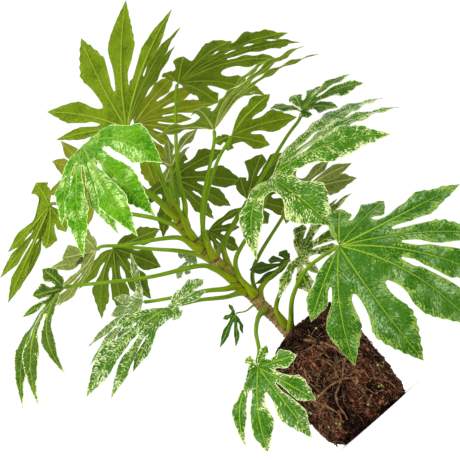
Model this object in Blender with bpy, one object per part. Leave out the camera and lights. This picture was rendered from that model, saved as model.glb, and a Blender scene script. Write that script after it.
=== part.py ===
"""A variegated Japanese aralia lifted out of its pot: root ball, stem and one object for each leaf.

The plant stands upright on the flat bottom of its root ball. The origin is the middle of that bottom,
+Z is up, and the side that was drawn faces -Y.

Stem and leaves were laid out on a square grid, as seen by an eye in front of the plant while it leaned
to the left. A place is (across, down, front): grid steps from the drawing's top left corner, and depth
steps in front of the upright plane through the stem. GRID and DEPTH give the steps their real size.
"""

import math
import random

import bpy
import numpy as np

# Driving dimensions, in metres and radians
BALL_HEIGHT = 0.129
BALL_RADIUS = 0.0560
BALL_TAPER = 0.003
STEM_RADIUS = 0.0072
STEM_TIP_RADIUS = 0.0056
STEM_SUNK = 0.018
BLADE = 0.0010
GAP = 0.0003

# The drawing: its steps, its middle, where the top of the root ball is on it, and how it was seen
GRID = 0.0011
DEPTH = 0.0013
MIDDLE = 230
RIM = (295, 331)
EYE_DISTANCE = 1.4
EYE_PITCH = math.radians(9.5)
LEAN = math.radians(41)

EYE_FORWARD = np.array([0.0, math.cos(EYE_PITCH), math.sin(EYE_PITCH)])
LEVEL_RIGHT = np.array([1.0, 0.0, 0.0])
LEVEL_UP = np.array([0.0, -math.sin(EYE_PITCH), math.cos(EYE_PITCH)])
EYE_RIGHT = math.cos(LEAN) * LEVEL_RIGHT - math.sin(LEAN) * LEVEL_UP
EYE_UP = math.sin(LEAN) * LEVEL_RIGHT + math.cos(LEAN) * LEVEL_UP


def ray(across, down):
    """From the eye to this step of the drawing, EYE_DISTANCE deep."""
    side = (across - MIDDLE) * GRID * EYE_RIGHT
    height = (MIDDLE - down) * GRID * EYE_UP
    return side + height + EYE_DISTANCE * EYE_FORWARD


EYE = np.array([0.0, 0.0, BALL_HEIGHT]) - ray(*RIM)


def place(across, down, front):
    """Where this step of the drawing is on the plant, front steps before the stem's plane."""
    way = ray(across, down)
    return EYE + way * ((-front * DEPTH - EYE[1]) / way[1])


# The stem's middle line from the soil to the growing tip
STEM_LINE = [
    (291, 335, 0),
    (277, 319, 0),
    (262, 306, 0),
    (250, 293, 0),
    (237, 281, 0),
    (225, 269, 0),
    (214, 260, 0),
    (203, 249, 0),
    (193, 240, 0),
    (185, 228, 0),
    (177, 216, 0),
    (171, 205, 0),
]

# Each leaf: tone is the side and colour that faces -Y, and hub is where the stalk meets the blade. lobes
# are (across, down, width) for each tip, with the width in grid steps and then, where needed, steps added
# to the front, a twist in degrees and a sideways bend. They go anticlockwise round the hub as seen from
# the blade's upper side. slope is how many steps the blade comes forward for a step right and for a step
# down. web is the share of a lobe that is joined to its neighbours. stalk runs from the stem to the hub.
LEAVES = {
    "leaf_01": {
        "tone": "underside",
        "hub": (127, 129, -5),
        "slope": (0.0, -0.2),
        "lobes": [
            (56, 140, 13, 0, 0, 0.035), (47, 112, 26, 0, 0, 0.05), (81, 38, 33, 0, 0, -0.04),
            (126, 0, 28, 0, 0, -0.045), (172, 9, 17, -12, 0, -0.03), (181, 27, 14, -28),
            (175, 46, 15, -48, 0, 0.03),
        ],
        "web": 0.36,
        "stalk": [(189, 234, 5), (178, 209, 14), (163, 183, 12), (150, 157, 4)],
    },
    "leaf_02": {
        "tone": "underside",
        "hub": (134, 124, -45),
        "slope": (-0.45, -0.6),
        "lobes": [
            (140, 70, 18, -10), (176, 74, 18), (200, 86, 16), (217, 103, 18), (192, 119, 14),
            (180, 131, 14), (172, 145, 16), (171, 166, 14), (160, 195, 20),
        ],
        "web": 0.45,
        "stalk": [(173, 209, -4), (166, 190, -16), (152, 150, -34)],
    },
    "leaf_03": {
        "tone": "underside",
        "hub": (178, 83, -20),
        "slope": (-0.2, -1.3),
        "lobes": [
            (164, 73, 14), (184, 57, 20), (232, 41, 28), (288, 33, 32), (300, 42, 22), (280, 59, 24),
            (265, 95, 28), (218, 103, 28),
        ],
        "web": 0.46,
        "stalk": [(181, 222, 5), (185, 205, 10), (179, 178, 0), (176, 140, -10)],
    },
    "leaf_04": {
        "tone": "underside",
        "hub": (214, 129, 35),
        "slope": (0.0, 0.0),
        "lobes": [
            (156, 137, 24, -5), (196, 110, 20, 50), (250, 80, 18, 60), (270, 59, 18, 35),
            (304, 46, 18, 5), (319, 54, 20, -25), (258, 92, 16, -50),
        ],
        "web": 0.35,
        "stalk": [(212, 252, 5), (203, 228, 18), (203, 200, 26), (211, 160, 33)],
    },
    "leaf_05": {
        "tone": "fresh",
        "hub": (83, 145, 50),
        "slope": (0.45, 0.55),
        "lobes": [
            (62, 226, 20), (84, 258, 28), (118, 234, 24, -8), (138, 237, 34, 6), (156, 217, 31, -8),
            (162, 163, 42, 0, 0, 0.09),
        ],
        "web": 0.30,
        "stalk": [(176, 214, 5), (154, 198, 22), (112, 162, 42)],
    },
    "leaf_06": {
        "tone": "underside",
        "hub": (50, 205, -35),
        "slope": (0.1, -0.2),
        "lobes": [
            (66, 232, 16), (46, 249, 19), (23, 283, 9, -14), (8, 303, 19), (0, 278, 14), (8, 252, 14),
            (36, 183, 22),
        ],
        "web": 0.45,
        "stalk": [(185, 230, -5), (165, 221, -15), (138, 215, -22), (90, 208, -32)],
    },
    "leaf_07": {
        "tone": "underside",
        "hub": (88, 178, -10),
        "slope": (0.2, -0.2),
        "lobes": [
            (82, 232, 18), (58, 222, 16), (48, 194, 18), (52, 161, 18), (61, 141, 16), (92, 136, 18),
        ],
        "web": 0.40,
        "stalk": [(172, 207, -3), (150, 193, -4), (112, 182, -9)],
    },
    "leaf_08": {
        "tone": "underside",
        "hub": (97, 250, 0),
        "slope": (0.3, 0.2),
        "lobes": [
            (58, 306, 10), (50, 309, 12), (45, 298, 10), (50, 268, 16, -14), (62, 258, 34), (72, 226, 18),
        ],
        "web": 0.40,
        "stalk": [(196, 246, 4), (180, 238, 8), (160, 239, 8), (126, 245, 5)],
    },
    "leaf_09": {
        "tone": "silvery",
        "hub": (64, 288, 25),
        "slope": (0.0, 0.2),
        "lobes": [
            (42, 269, 19, 8), (32, 296, 20, 12), (21, 318, 8), (23, 409, 16, -6, 0, -0.12),
            (39, 407, 17, 6, 0, -0.14), (66, 375, 14, 0, 0, -0.21),
        ],
        "web": 0.30,
        "stalk": [(230, 278, 5), (214, 269, 12), (198, 266, 16), (150, 277, 22), (100, 283, 25)],
    },
    "leaf_10": {
        "tone": "underside",
        "hub": (114, 248, -50),
        "slope": (0.0, -0.2),
        "lobes": [
            (160, 229, 20), (161, 267, 25), (151, 299, 24, 0, 0, 0.04), (128, 319, 22, 0, 0, 0.07),
            (102, 319, 22, 0, 0, 0.12), (79, 289, 15, -10, 0, 0.06),
        ],
        "web": 0.30,
        "stalk": [(206, 256, -5), (180, 251, -18), (152, 249, -32)],
    },
    "leaf_11": {
        "tone": "underside",
        "hub": (231, 136, -30),
        "slope": (-0.5, -0.5),
        "lobes": [
            (270, 94, 22), (297, 117, 26), (270, 145, 18), (228, 151, 14), (215, 143, 12),
        ],
        "web": 0.48,
        "stalk": [(202, 248, -4), (203, 222, -12), (208, 190, -20), (218, 160, -26)],
    },
    "leaf_12": {
        "tone": "green",
        "hub": (302, 111, -20),
        "slope": (0.0, 0.0),
        "lobes": [
            (270, 109, 19, 2), (308, 118, 15, 12), (338, 108, 24, 18), (364, 83, 22, 0, 20),
            (350, 74, 16, -6), (322, 86, 20, -18), (294, 95, 18, -14),
        ],
        "web": 0.35,
        "stalk": [(228, 264, -4), (224, 243, -10), (236, 221, -15), (258, 184, -20), (286, 138, -22)],
    },
    "leaf_13": {
        "tone": "cream_edged",
        "hub": (271, 178, 30),
        "slope": (0.1, 0.5),
        "lobes": [
            (257, 260, 24, 0, 0, -0.1), (332, 226, 50), (391, 134, 46, 35, 0, 0.03), (399, 107, 26, 0),
            (383, 98, 28, -35),
        ],
        "web": 0.24,
        "stalk": [(250, 290, 4), (239, 276, 10), (236, 258, 14), (250, 232, 20), (264, 204, 25)],
    },
    "leaf_14": {
        "tone": "underside",
        "hub": (295, 193, -45),
        "slope": (-0.2, -0.3),
        "lobes": [
            (288, 160, 16, -10), (330, 158, 13, -10), (352, 163, 16), (357, 178, 26, -14), (318, 205, 20),
            (286, 224, 16),
        ],
        "web": 0.38,
        "stalk": [(264, 303, -4), (254, 286, -20), (253, 270, -32), (262, 250, -36), (282, 218, -42)],
    },
    "leaf_15": {
        "tone": "underside",
        "hub": (247, 200, -60),
        "slope": (-0.3, -0.5),
        "lobes": [
            (240, 177, 18), (262, 154, 32), (285, 152, 26), (302, 180, 22), (296, 212, 20),
            (268, 224, 18),
        ],
        "web": 0.50,
        "stalk": [(216, 260, -5), (226, 236, -32), (238, 215, -54)],
    },
    "leaf_16": {
        "tone": "underside",
        "hub": (172, 178, -75),
        "slope": (-0.3, -0.5),
        "lobes": [
            (184, 152, 18), (222, 150, 22), (243, 181, 30), (231, 206, 24), (214, 219, 18),
            (163, 238, 18), (142, 204, 18),
        ],
        "web": 0.42,
        "stalk": [(181, 222, -4), (176, 208, -32), (171, 192, -55)],
    },
    "leaf_17": {
        "tone": "green",
        "hub": (171, 166, -45),
        "slope": (0.0, -0.5),
        "lobes": [
            (164, 184, 12), (158, 160, 10), (168, 140, 12), (198, 128, 14), (190, 147, 10, -14),
        ],
        "web": 0.35,
        "stalk": [(176, 214, -5), (178, 202, -20), (173, 184, -34)],
    },
    "leaf_18": {
        "tone": "speckled",
        "hub": (339, 246, 80),
        "slope": (0.05, 0.05),
        "lobes": [
            (311, 322, 22), (355, 366, 33, 0, 0, -0.05), (424, 361, 41, 0, 0, -0.02),
            (474, 326, 48, 0, 0, 0.07), (494, 280, 32, 0, 0, 0.05), (490, 233, 22, 0, 0, 0.02),
            (460, 184, 29, 0, 0, -0.075), (384, 201, 26, -25, 0, -0.04), (340, 209, 25, -20),
        ],
        "web": 0.42,
        "stalk": [(291, 331, 6), (291, 318, 18), (293, 296, 34), (306, 270, 52), (326, 254, 68)],
    },
    "leaf_19": {
        "tone": "cream_edged",
        "hub": (258, 367, 82),
        "slope": (0.0, 0.05),
        "lobes": [
            (246, 358, 9), (246, 447, 14, 0, 0, -0.14), (268, 453, 26, 0, 0, -0.05), (312, 438, 26),
            (316, 400, 24), (297, 355, 18), (267, 345, 9),
        ],
        "web": 0.34,
        "stalk": [(266, 310, 5), (258, 318, 26), (256, 332, 50), (259, 350, 72)],
    },
    "leaf_20": {
        "tone": "dark",
        "hub": (235, 314, 16),
        "slope": (0.0, 0.1),
        "lobes": [
            (229, 304, 4), (223, 319, 5), (220, 348, 7), (236, 347, 6), (243, 334, 5, -8),
        ],
        "web": 0.30,
        "stalk": [(256, 303, 5), (246, 311, 12)],
        "stalk_radius": (0.9, 0.7),
    },
    "leaf_21": {
        "tone": "speckled",
        "hub": (168, 307, 55),
        "slope": (-0.1, 0.2),
        "lobes": [
            (116, 326, 14), (86, 398, 25, 0, 0, -0.07), (111, 399, 14, -4, 0, -0.05),
            (133, 372, 14, -4, 0, -0.02), (180, 318, 15), (206, 291, 12), (204, 279, 18),
        ],
        "web": 0.42,
        "arch": 0.05,
        "stalk": [(243, 293, 6), (226, 297, 24), (200, 300, 40), (183, 304, 50)],
    },
    "leaf_22": {
        "tone": "silvery",
        "hub": (143, 302, 15),
        "slope": (0.0, 0.1),
        "lobes": [
            (131, 253, 8), (114, 298, 10), (111, 316, 15), (88, 347, 8), (90, 365, 9), (117, 346, 13),
        ],
        "web": 0.30,
        "stalk": [(238, 286, 5), (225, 289, 12), (205, 291, 15), (176, 297, 16)],
    },
    "leaf_23": {
        "tone": "silvery",
        "hub": (195, 254, -30),
        "slope": (0.3, -0.3),
        "lobes": [
            (178, 254, 10), (177, 279, 14), (186, 275, 12), (194, 268, 10),
        ],
        "web": 0.45,
        "stalk": [(222, 268, -6), (207, 257, -24)],
    },
    "leaf_24": {
        "tone": "underside",
        "hub": (208, 231, -42),
        "slope": (-0.3, -0.3),
        "lobes": [
            (246, 206, 8), (240, 227, 10), (239, 250, 18), (224, 254, 12), (209, 254, 10),
        ],
        "web": 0.40,
        "stalk": [(198, 243, -5), (200, 238, -24)],
    },
    "leaf_25": {
        "tone": "cream_edged",
        "hub": (298, 257, 22),
        "slope": (0.2, 0.3),
        "lobes": [
            (279, 298, 12), (309, 293, 26), (320, 274, 9), (338, 246, 24), (352, 229, 18),
            (352, 193, 11), (338, 198, 11, -16), (303, 224, 18),
        ],
        "web": 0.32,
        "stalk": [(280, 322, 5), (276, 308, 12), (281, 291, 18), (290, 276, 20)],
    },
    "leaf_26": {
        "tone": "underside",
        "hub": (290, 260, -12),
        "slope": (0.2, 0.2),
        "lobes": [
            (255, 284, 10), (249, 270, 18), (268, 260, 16), (279, 252, 14),
        ],
        "web": 0.35,
        "stalk": [(256, 298, 2), (263, 285, -5), (276, 272, -10)],
    },
}


CURVE_STEPS = 16


def unit(vector):
    return vector / np.linalg.norm(vector)


def smooth(x):
    x = min(max(x, 0.0), 1.0)
    return x * x * (3 - 2 * x)


def through(points, count, crowd=1.0):
    """count places along a smooth curve through the points, closer at its start if crowd is over 1."""
    points = [np.array(p, float) for p in points]
    ends = [2 * points[0] - points[1]] + points + [2 * points[-1] - points[-2]]
    fine = []
    for p0, p1, p2, p3 in zip(ends, ends[1:], ends[2:], ends[3:]):
        for t in np.linspace(0, 1, CURVE_STEPS, endpoint=False):
            a = -p0 + 3 * p1 - 3 * p2 + p3
            b = 2 * p0 - 5 * p1 + 4 * p2 - p3
            fine.append(0.5 * (2 * p1 + (p2 - p0) * t + b * t * t + a * t * t * t))
    fine = np.array(fine + [points[-1]])
    steps = np.linalg.norm(np.diff(fine, axis=0), axis=1)
    along = np.concatenate([[0], np.cumsum(steps)])
    wanted = np.linspace(0, 1, count) ** crowd * along[-1]
    return np.array([np.interp(wanted, along, fine[:, k]) for k in range(3)]).T


# Blades

TEETH_FROM = 18
WEB_ROWS = 2
WEB_LEAST = 0.2
WEB_MOST = 0.6
PLAIN_ROWS = [0.14, 0.38, 0.70]
TOOTHED_ROWS = [0.13, 0.32, 0.50, 0.70, 0.74]
TOOTH_AT = {0.50: 1.06, 0.70: 1.14, 0.74: 0.84}
RIB_SAMPLES = 20
ARCH = 0.10
MEAN_PULL = 0.35
PUSH_MOST = 1.15

# A lobe's outline: its neck and widest place on the way from the sinus to the tip, and how it tapers
NECK_AT = 0.12
NECK = 0.72
WIDEST = 0.46
TAPER_POWER = 1.8
TAPER_SLANT = 0.3

# By which share of that way its edges have their twist, spread out, and stop leaning back
TWISTED_BY = 0.5
SPREAD_BY = 0.6
SWEPT_BY = 0.25

# How near an edge may come to the other lobes, and the outermost edges' width up to the sinuses
EDGE_SHARE = 0.47
TOWARD_LEAST = 0.4
CLEARANCE = 0.0006
OUTER_SHARE = 0.8
OUTER_START = 0.25


def half_width(s, half, start):
    """How far the edge is from the lobe's midrib, s of the way from the sinus to the tip."""
    neck = min(start, NECK * half)
    if s < NECK_AT:
        return start + (neck - start) * smooth(s / NECK_AT)
    if s < WIDEST:
        return neck + (half - neck) * smooth((s - NECK_AT) / (WIDEST - NECK_AT))
    x = (s - WIDEST) / (1 - WIDEST)
    return half * (1 - x**TAPER_POWER) * (1 - TAPER_SLANT * x)


def turned(vector, axis, angle):
    """The vector turned about the axis."""
    across = np.cross(axis, vector)
    kept = axis * axis.dot(vector) * (1 - math.cos(angle))
    return vector * math.cos(angle) + across * math.sin(angle) + kept


class Lobe:
    """One lobe: its midrib from the hub to the tip, and which way is up and sideways on it."""

    def __init__(self, leaf, numbers):
        across, down, width, extra, twist, bend = (tuple(numbers) + (0, 0, 0))[:6]
        hub_across, hub_down, hub_front = leaf["hub"]
        slope_right, slope_down = leaf["slope"]
        front = hub_front + slope_right * (across - hub_across) + slope_down * (down - hub_down) + extra
        self.hub = place(*leaf["hub"])
        self.way = place(across, down, front) - self.hub
        self.half = width * GRID / 2
        self.twist = math.radians(twist)
        self.bend = bend
        self.arch = leaf.get("arch", ARCH)
        self.toothed = width >= TEETH_FROM
        self.web = leaf["web"]
        self.up = None
        self.side = None

    def middle(self, t):
        """The midrib's place t of the way to the tip."""
        rise = 4 * t * (1 - t) * np.linalg.norm(self.way)
        return self.hub + self.way * t + rise * (self.arch * self.up + self.bend * self.side)


def lobes_of(leaf):
    lobes = [Lobe(leaf, numbers) for numbers in leaf["lobes"]]
    ways = [unit(lobe.way) for lobe in lobes]
    crosses = [np.cross(a, b) for a, b in zip(ways, ways[1:])]
    mean = unit(sum(crosses))
    for i, lobe in enumerate(lobes):
        near = MEAN_PULL * mean
        if i > 0:
            near = near + crosses[i - 1]
        if i < len(crosses):
            near = near + crosses[i]
        lobe.side = unit(np.cross(near, ways[i]))
        lobe.up = np.cross(ways[i], lobe.side)
    reaches = [np.linalg.norm(lobe.way) for lobe in lobes]
    padded = reaches[:1] + reaches + reaches[-1:]
    for lobe, before, own, after in zip(lobes, padded, reaches, padded[2:]):
        lobe.web = min(max(lobe.web * (before + own + after) / own / 3, WEB_LEAST), WEB_MOST)
    return lobes, mean


def shared_edge(first, second):
    """The line where two lobes are joined, from the hub at 0 to the sinus between them at 1."""
    hub = first.hub

    def between(share):
        return (first.middle(first.web * share) + second.middle(second.web * share)) / 2 - hub

    reach = sum(np.linalg.norm(lobe.middle(lobe.web) - hub) for lobe in (first, second)) / 2
    push = min(reach / np.linalg.norm(between(1)), PUSH_MOST)
    return lambda share: hub + between(share) * push


def rib_line(lobe, start):
    """The lobe's midrib from start to the tip."""
    return np.array([lobe.middle(t) for t in np.linspace(start, 1, RIB_SAMPLES)])


def clear_width(spot, out, others):
    """How far out from its midrib an edge may be here to stay clear of the other lobes."""
    away = np.vstack(others) - spot
    far = np.linalg.norm(away, axis=1)
    toward = np.maximum(away.dot(out) / far, TOWARD_LEAST)
    return EDGE_SHARE * (far / toward).min() - CLEARANCE


def free_edge(lobe, side, start, others):
    """The lobe's own edge on one side, from the sinus to near the tip, clear of the other lobes."""
    offset = start - lobe.middle(lobe.web)
    first = np.linalg.norm(offset)
    way = unit(lobe.way)
    behind = offset.dot(way)
    beside = offset - behind * way

    def at(s):
        t = lobe.web + (1 - lobe.web) * s
        out = turned(side * lobe.side, way, lobe.twist * smooth(s / TWISTED_BY))
        spread = smooth(s / SPREAD_BY)
        out = unit(unit(beside) * (1 - spread) + out * spread)
        out = unit(out * np.linalg.norm(beside) + way * behind * (1 - smooth(s / SWEPT_BY)))
        wide = half_width(s, lobe.half, first)
        if lobe.toothed:
            wide *= TOOTH_AT.get(s, 1.0)
        return lobe.middle(t) + out * min(wide, clear_width(lobe.middle(t), out, others))

    return at


def blade_surface(leaf):
    """The blade's middle surface: points, and triangles that face its upper side."""
    lobes, mean = lobes_of(leaf)
    hub = lobes[0].hub
    points = [hub]
    triangles = []

    def add(point):
        points.append(point)
        return len(points) - 1

    joined = [[0] * (WEB_ROWS + 1) for _ in range(len(lobes) - 1)]
    for j, (first, second) in enumerate(zip(lobes, lobes[1:])):
        edge = shared_edge(first, second)
        for k in range(1, WEB_ROWS + 1):
            joined[j][k] = add(edge(k / WEB_ROWS))

    for i, lobe in enumerate(lobes):
        rows = TOOTHED_ROWS if lobe.toothed else PLAIN_ROWS
        ribs = [add(lobe.middle(lobe.web * k / WEB_ROWS)) for k in range(1, WEB_ROWS + 1)]
        others = [rib_line(other, other.web) for other in lobes if other is not lobe]
        far_end = [rib_line(lobes[0] if lobe is lobes[-1] else lobes[-1], 0)]
        sides = []
        for side, j in ((-1, i - 1), (1, i)):
            if 0 <= j < len(joined):
                line = joined[j][1:]
            else:
                line = []
                for k in range(1, WEB_ROWS + 1):
                    spot = lobe.middle(lobe.web * k / WEB_ROWS)
                    opened = smooth(OUTER_START + (1 - OUTER_START) * k / WEB_ROWS)
                    wide = OUTER_SHARE * lobe.half * opened
                    wide = min(wide, max(clear_width(spot, side * lobe.side, far_end), BLADE))
                    line.append(add(spot + side * lobe.side * wide))
            edge = free_edge(lobe, side, points[line[-1]], others)
            sides.append(line + [add(edge(s)) for s in rows])
        ribs += [add(lobe.middle(lobe.web + (1 - lobe.web) * s)) for s in rows]
        tip = add(lobe.hub + lobe.way)
        right, left = sides
        triangles += [(0, right[0], ribs[0]), (0, ribs[0], left[0])]
        for k in range(len(ribs) - 1):
            triangles += [(right[k], right[k + 1], ribs[k + 1]), (right[k], ribs[k + 1], ribs[k])]
            triangles += [(ribs[k], ribs[k + 1], left[k + 1]), (ribs[k], left[k + 1], left[k])]
        triangles += [(right[-1], tip, ribs[-1]), (ribs[-1], tip, left[-1])]
    return np.array(points), triangles, mean


def thick_mesh(name, points, triangles):
    """A closed sheet: the surface on both faces, half the blade's thickness away, with a rim."""
    corners = points[np.array(triangles)]
    facing = np.cross(corners[:, 1] - corners[:, 0], corners[:, 2] - corners[:, 0])
    normals = np.zeros_like(points)
    for triangle, normal in zip(triangles, facing):
        for corner in triangle:
            normals[corner] += normal
    normals /= np.linalg.norm(normals, axis=1)[:, None]
    count = len(points)
    both = np.vstack([points + normals * BLADE / 2, points - normals * BLADE / 2])
    faces = list(triangles)
    faces += [(c + count, b + count, a + count) for a, b, c in triangles]
    open_edges = {}
    for a, b, c in triangles:
        for edge in ((a, b), (b, c), (c, a)):
            if edge[::-1] in open_edges:
                del open_edges[edge[::-1]]
            else:
                open_edges[edge] = True
    for a, b in open_edges:
        faces += [(b, a, a + count), (b, a + count, b + count)]
    return mesh_object(name, both, faces)


def mesh_object(name, points, faces):
    mesh = bpy.data.meshes.new(name)
    mesh.from_pydata([tuple(p) for p in points], [], faces)
    mesh.validate()
    made = bpy.data.objects.new(name, mesh)
    bpy.context.scene.collection.objects.link(made)
    return made


# A direction that no tube starts along
ASKEW = (0.3, -0.2, 0.9)


def tube(name, line, radii, sides, first_way=None):
    """A closed tube with flat ends along the line. first_way is what its first end is square to."""
    ways = np.gradient(line, axis=0)
    if first_way is not None:
        ways[0] = first_way
    ways /= np.linalg.norm(ways, axis=1)[:, None]
    across = unit(np.cross(ways[0], ASKEW))
    points = []
    for place_here, way, radius in zip(line, ways, radii):
        across = unit(across - way * across.dot(way))
        other = np.cross(way, across)
        for k in range(sides):
            angle = 2 * math.pi * k / sides
            points.append(place_here + radius * (math.cos(angle) * across + math.sin(angle) * other))
    faces = []
    for row in range(len(line) - 1):
        for k in range(sides):
            a, b = row * sides + k, row * sides + (k + 1) % sides
            faces.append((a, b, b + sides, a + sides))
    faces.append(tuple(range(sides))[::-1])
    last = (len(line) - 1) * sides
    faces.append(tuple(range(last, last + sides)))
    return mesh_object(name, points, faces)


def join(base, other, operation="UNION"):
    """Unites other with base, or cuts it out, and removes it. EXACT loses some of the thin blades."""
    change = base.modifiers.new("join", "BOOLEAN")
    change.operation = operation
    change.object = other
    change.solver = "MANIFOLD"
    apply_changes(base)
    bpy.data.objects.remove(other)


def apply_changes(thing):
    graph = bpy.context.evaluated_depsgraph_get()
    mesh = bpy.data.meshes.new_from_object(thing.evaluated_get(graph))
    thing.modifiers.clear()
    thing.data = mesh


def material(name, colour, roughness):
    made = bpy.data.materials.new(name)
    made.use_nodes = True
    shader = made.node_tree.nodes["Principled BSDF"]
    shader.inputs["Base Color"].default_value = (*colour, 1.0)
    shader.inputs["Roughness"].default_value = roughness
    return made


# Stem

STEM_ROWS = 31
STEM_SIDES = 12
STEM_SAMPLES = 200
RING_ROWS = 3
STEM_RING = 1.03
STEM_WAIST = 0.985
STEM_END = (0.85, 0.45)
STEM = [place(*p) for p in STEM_LINE]
STEM_FOOT_WAY = unit(STEM[0] - STEM[1])


def stem_radius(share):
    return STEM_RADIUS + (STEM_TIP_RADIUS - STEM_RADIUS) * share


def nearest_on_stem(spot):
    """The nearest place on the stem's middle line, the way up there, and its share of the length."""
    line = through(STEM, STEM_SAMPLES)
    index = int(np.argmin(np.linalg.norm(line - spot, axis=1)))
    index = min(max(index, 1), len(line) - 2)
    return line[index], unit(line[index + 1] - line[index - 1]), index / (len(line) - 1)


def stem():
    foot = STEM[0] + STEM_FOOT_WAY * STEM_SUNK
    line = through([foot] + STEM, STEM_ROWS)
    radii = []
    for row in range(len(line)):
        ring = STEM_RING if row % RING_ROWS == 0 else STEM_WAIST
        radii.append(stem_radius(row / len(line)) * ring)
    radii[-2] *= STEM_END[0]
    radii[-1] *= STEM_END[1]
    return tube("stem", line, radii, STEM_SIDES)


# Stalks

# RADIUS is in millimetres, at the stem and at the hub. FOOT_OUT and FOOT_UP say in base radii where the
# stalk turns away from the stem. It comes to the hub from below, from the gap between the outer lobes.
STALK_ROWS = 8
STALK_CROWD = 1.7
STALK_SIDES = 5
STALK_RADIUS = (3.3, 1.9)
FOOT_OUT = 1.3
FOOT_UP = 0.8
FROM_GAP = 0.4
FROM_BELOW = 0.8
LAST_BEND = 0.012
LAST_SHARE = 0.4
HUB_RISE = 0.0009


def stalk(name, leaf, mean):
    hub = place(*leaf["hub"])
    line = [place(*p) for p in leaf["stalk"]]
    base_radius, end_radius = [r / 1000 for r in leaf.get("stalk_radius", STALK_RADIUS)]
    on_stem, stem_way, share = nearest_on_stem(line[0])
    out = line[1] - on_stem
    out = unit(out - stem_way * out.dot(stem_way))
    start = on_stem + out * (stem_radius(share) * STEM_RING + GAP)
    lift = start + base_radius * (FOOT_OUT * out + FOOT_UP * stem_way)
    gap_way = -unit(sum(unit(lobe.way) for lobe in lobes_of(leaf)[0]))
    last = line[-1] - hub
    from_way = unit(unit(last) + FROM_GAP * gap_way - FROM_BELOW * mean)
    under = hub + from_way * min(LAST_BEND, LAST_SHARE * np.linalg.norm(last))
    route = through([start, lift] + line[1:] + [under, hub + mean * HUB_RISE], STALK_ROWS, STALK_CROWD)
    share = np.linspace(0, 1, STALK_ROWS)
    radii = end_radius + (base_radius - end_radius) * (1 - share) ** 2
    return tube(name, route, radii, STALK_SIDES, out)


# Mean colours of the blades, stalks left out
TONES = {
    "underside": (0.20, 0.31, 0.05),
    "fresh": (0.30, 0.50, 0.12),
    "green": (0.08, 0.22, 0.06),
    "dark": (0.04, 0.12, 0.04),
    "silvery": (0.20, 0.34, 0.18),
    "speckled": (0.16, 0.34, 0.10),
    "cream_edged": (0.30, 0.42, 0.16),
}
LEAF_ROUGHNESS = 0.42
STEM_COLOUR = (0.24, 0.19, 0.06)
STEM_ROUGHNESS = 0.6
SOIL_COLOUR = (0.045, 0.022, 0.015)
SOIL_ROUGHNESS = 0.95


def leaf_object(name, leaf):
    points, triangles, mean = blade_surface(leaf)
    made = thick_mesh(name, points, triangles)
    join(made, stalk(name + "_stalk", leaf, mean))
    made.data.materials.clear()
    made.data.materials.append(material(name, TONES[leaf["tone"]], LEAF_ROUGHNESS))
    return made


# Root ball

BALL_SIDES = 26
SEED = 7

# Soft swellings: how many, how high, and how wide round the ball in radians and up it as a share
BUMPS = 26
BUMP_HEIGHT = 0.0016
BUMP_TURN = 0.5
BUMP_LEVEL = 0.16

# How much is worn away on the left, low on the side and off the top, and over which share of the height
WORN_LOW = 0.007
WORN_BELOW = 0.12
WORN_TOP = 0.010
WORN_ABOVE = 0.7


def ball_outline():
    """(height, radius share) up the side and in over the top."""
    return [
        (0.0, 0.86), (0.06, 0.93), (0.16, 0.95), (0.30, 0.97), (0.45, 0.99), (0.60, 1.0),
        (0.74, 1.01), (0.86, 1.0), (0.94, 0.95), (0.985, 0.86), (1.0, 0.70), (0.985, 0.45),
    ]


# Thick roots on the side of the ball: (turn in degrees, height in metres)
ROOT_RADIUS = 0.0019
ROOT_THINNER = 0.7
ROOT_SUNK = 0.0003
ROOT_ROWS = 9
ROOT_SIDES = 4
LOOSE_ROOTS = 5
LOOSE_HEIGHTS = (0.108, 0.082, 0.056, 0.030, 0.008)
SIDE_ROWS = 8
SOCKET_ABOVE = 0.02
ROOTS = [
    [(-150, 0.098), (-124, 0.060), (-100, 0.058), (-76, 0.050), (-42, 0.024), (-34, 0.010)],
    [(-136, 0.085), (-126, 0.058), (-114, 0.030), (-128, 0.016), (-124, 0.009)],
    [(-88, 0.112), (-70, 0.090), (-62, 0.070), (-48, 0.062), (-20, 0.050)],
]


def loose_roots(draw):
    """Roots that wander down the back and sides."""
    routes = []
    for number in range(LOOSE_ROOTS):
        turn = -10 + number * 210 / LOOSE_ROOTS + draw.uniform(-10, 10)
        drift = draw.choice((-1, 1)) * draw.uniform(15, 30)
        steps = enumerate(LOOSE_HEIGHTS)
        routes.append([(turn + drift * k + draw.uniform(-7, 7), height) for k, height in steps])
    return routes


def plain_radius(angle, height, share):
    """The ball's radius without its bumps. It is worn away low on the left."""
    radius = (BALL_RADIUS - BALL_TAPER * (1 - height)) * share
    return radius - WORN_LOW * max(0.0, -math.cos(angle)) ** 2 * smooth((WORN_BELOW - height) / WORN_BELOW)


def on_ball(turn, height):
    """A place just under the surface of the ball's side."""
    up = height / BALL_HEIGHT
    angle = math.radians(turn)
    radius = plain_radius(angle, up, np.interp(up, *zip(*ball_outline()[:SIDE_ROWS]))) - ROOT_SUNK
    return np.array([radius * math.cos(angle), radius * math.sin(angle), height])


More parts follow.
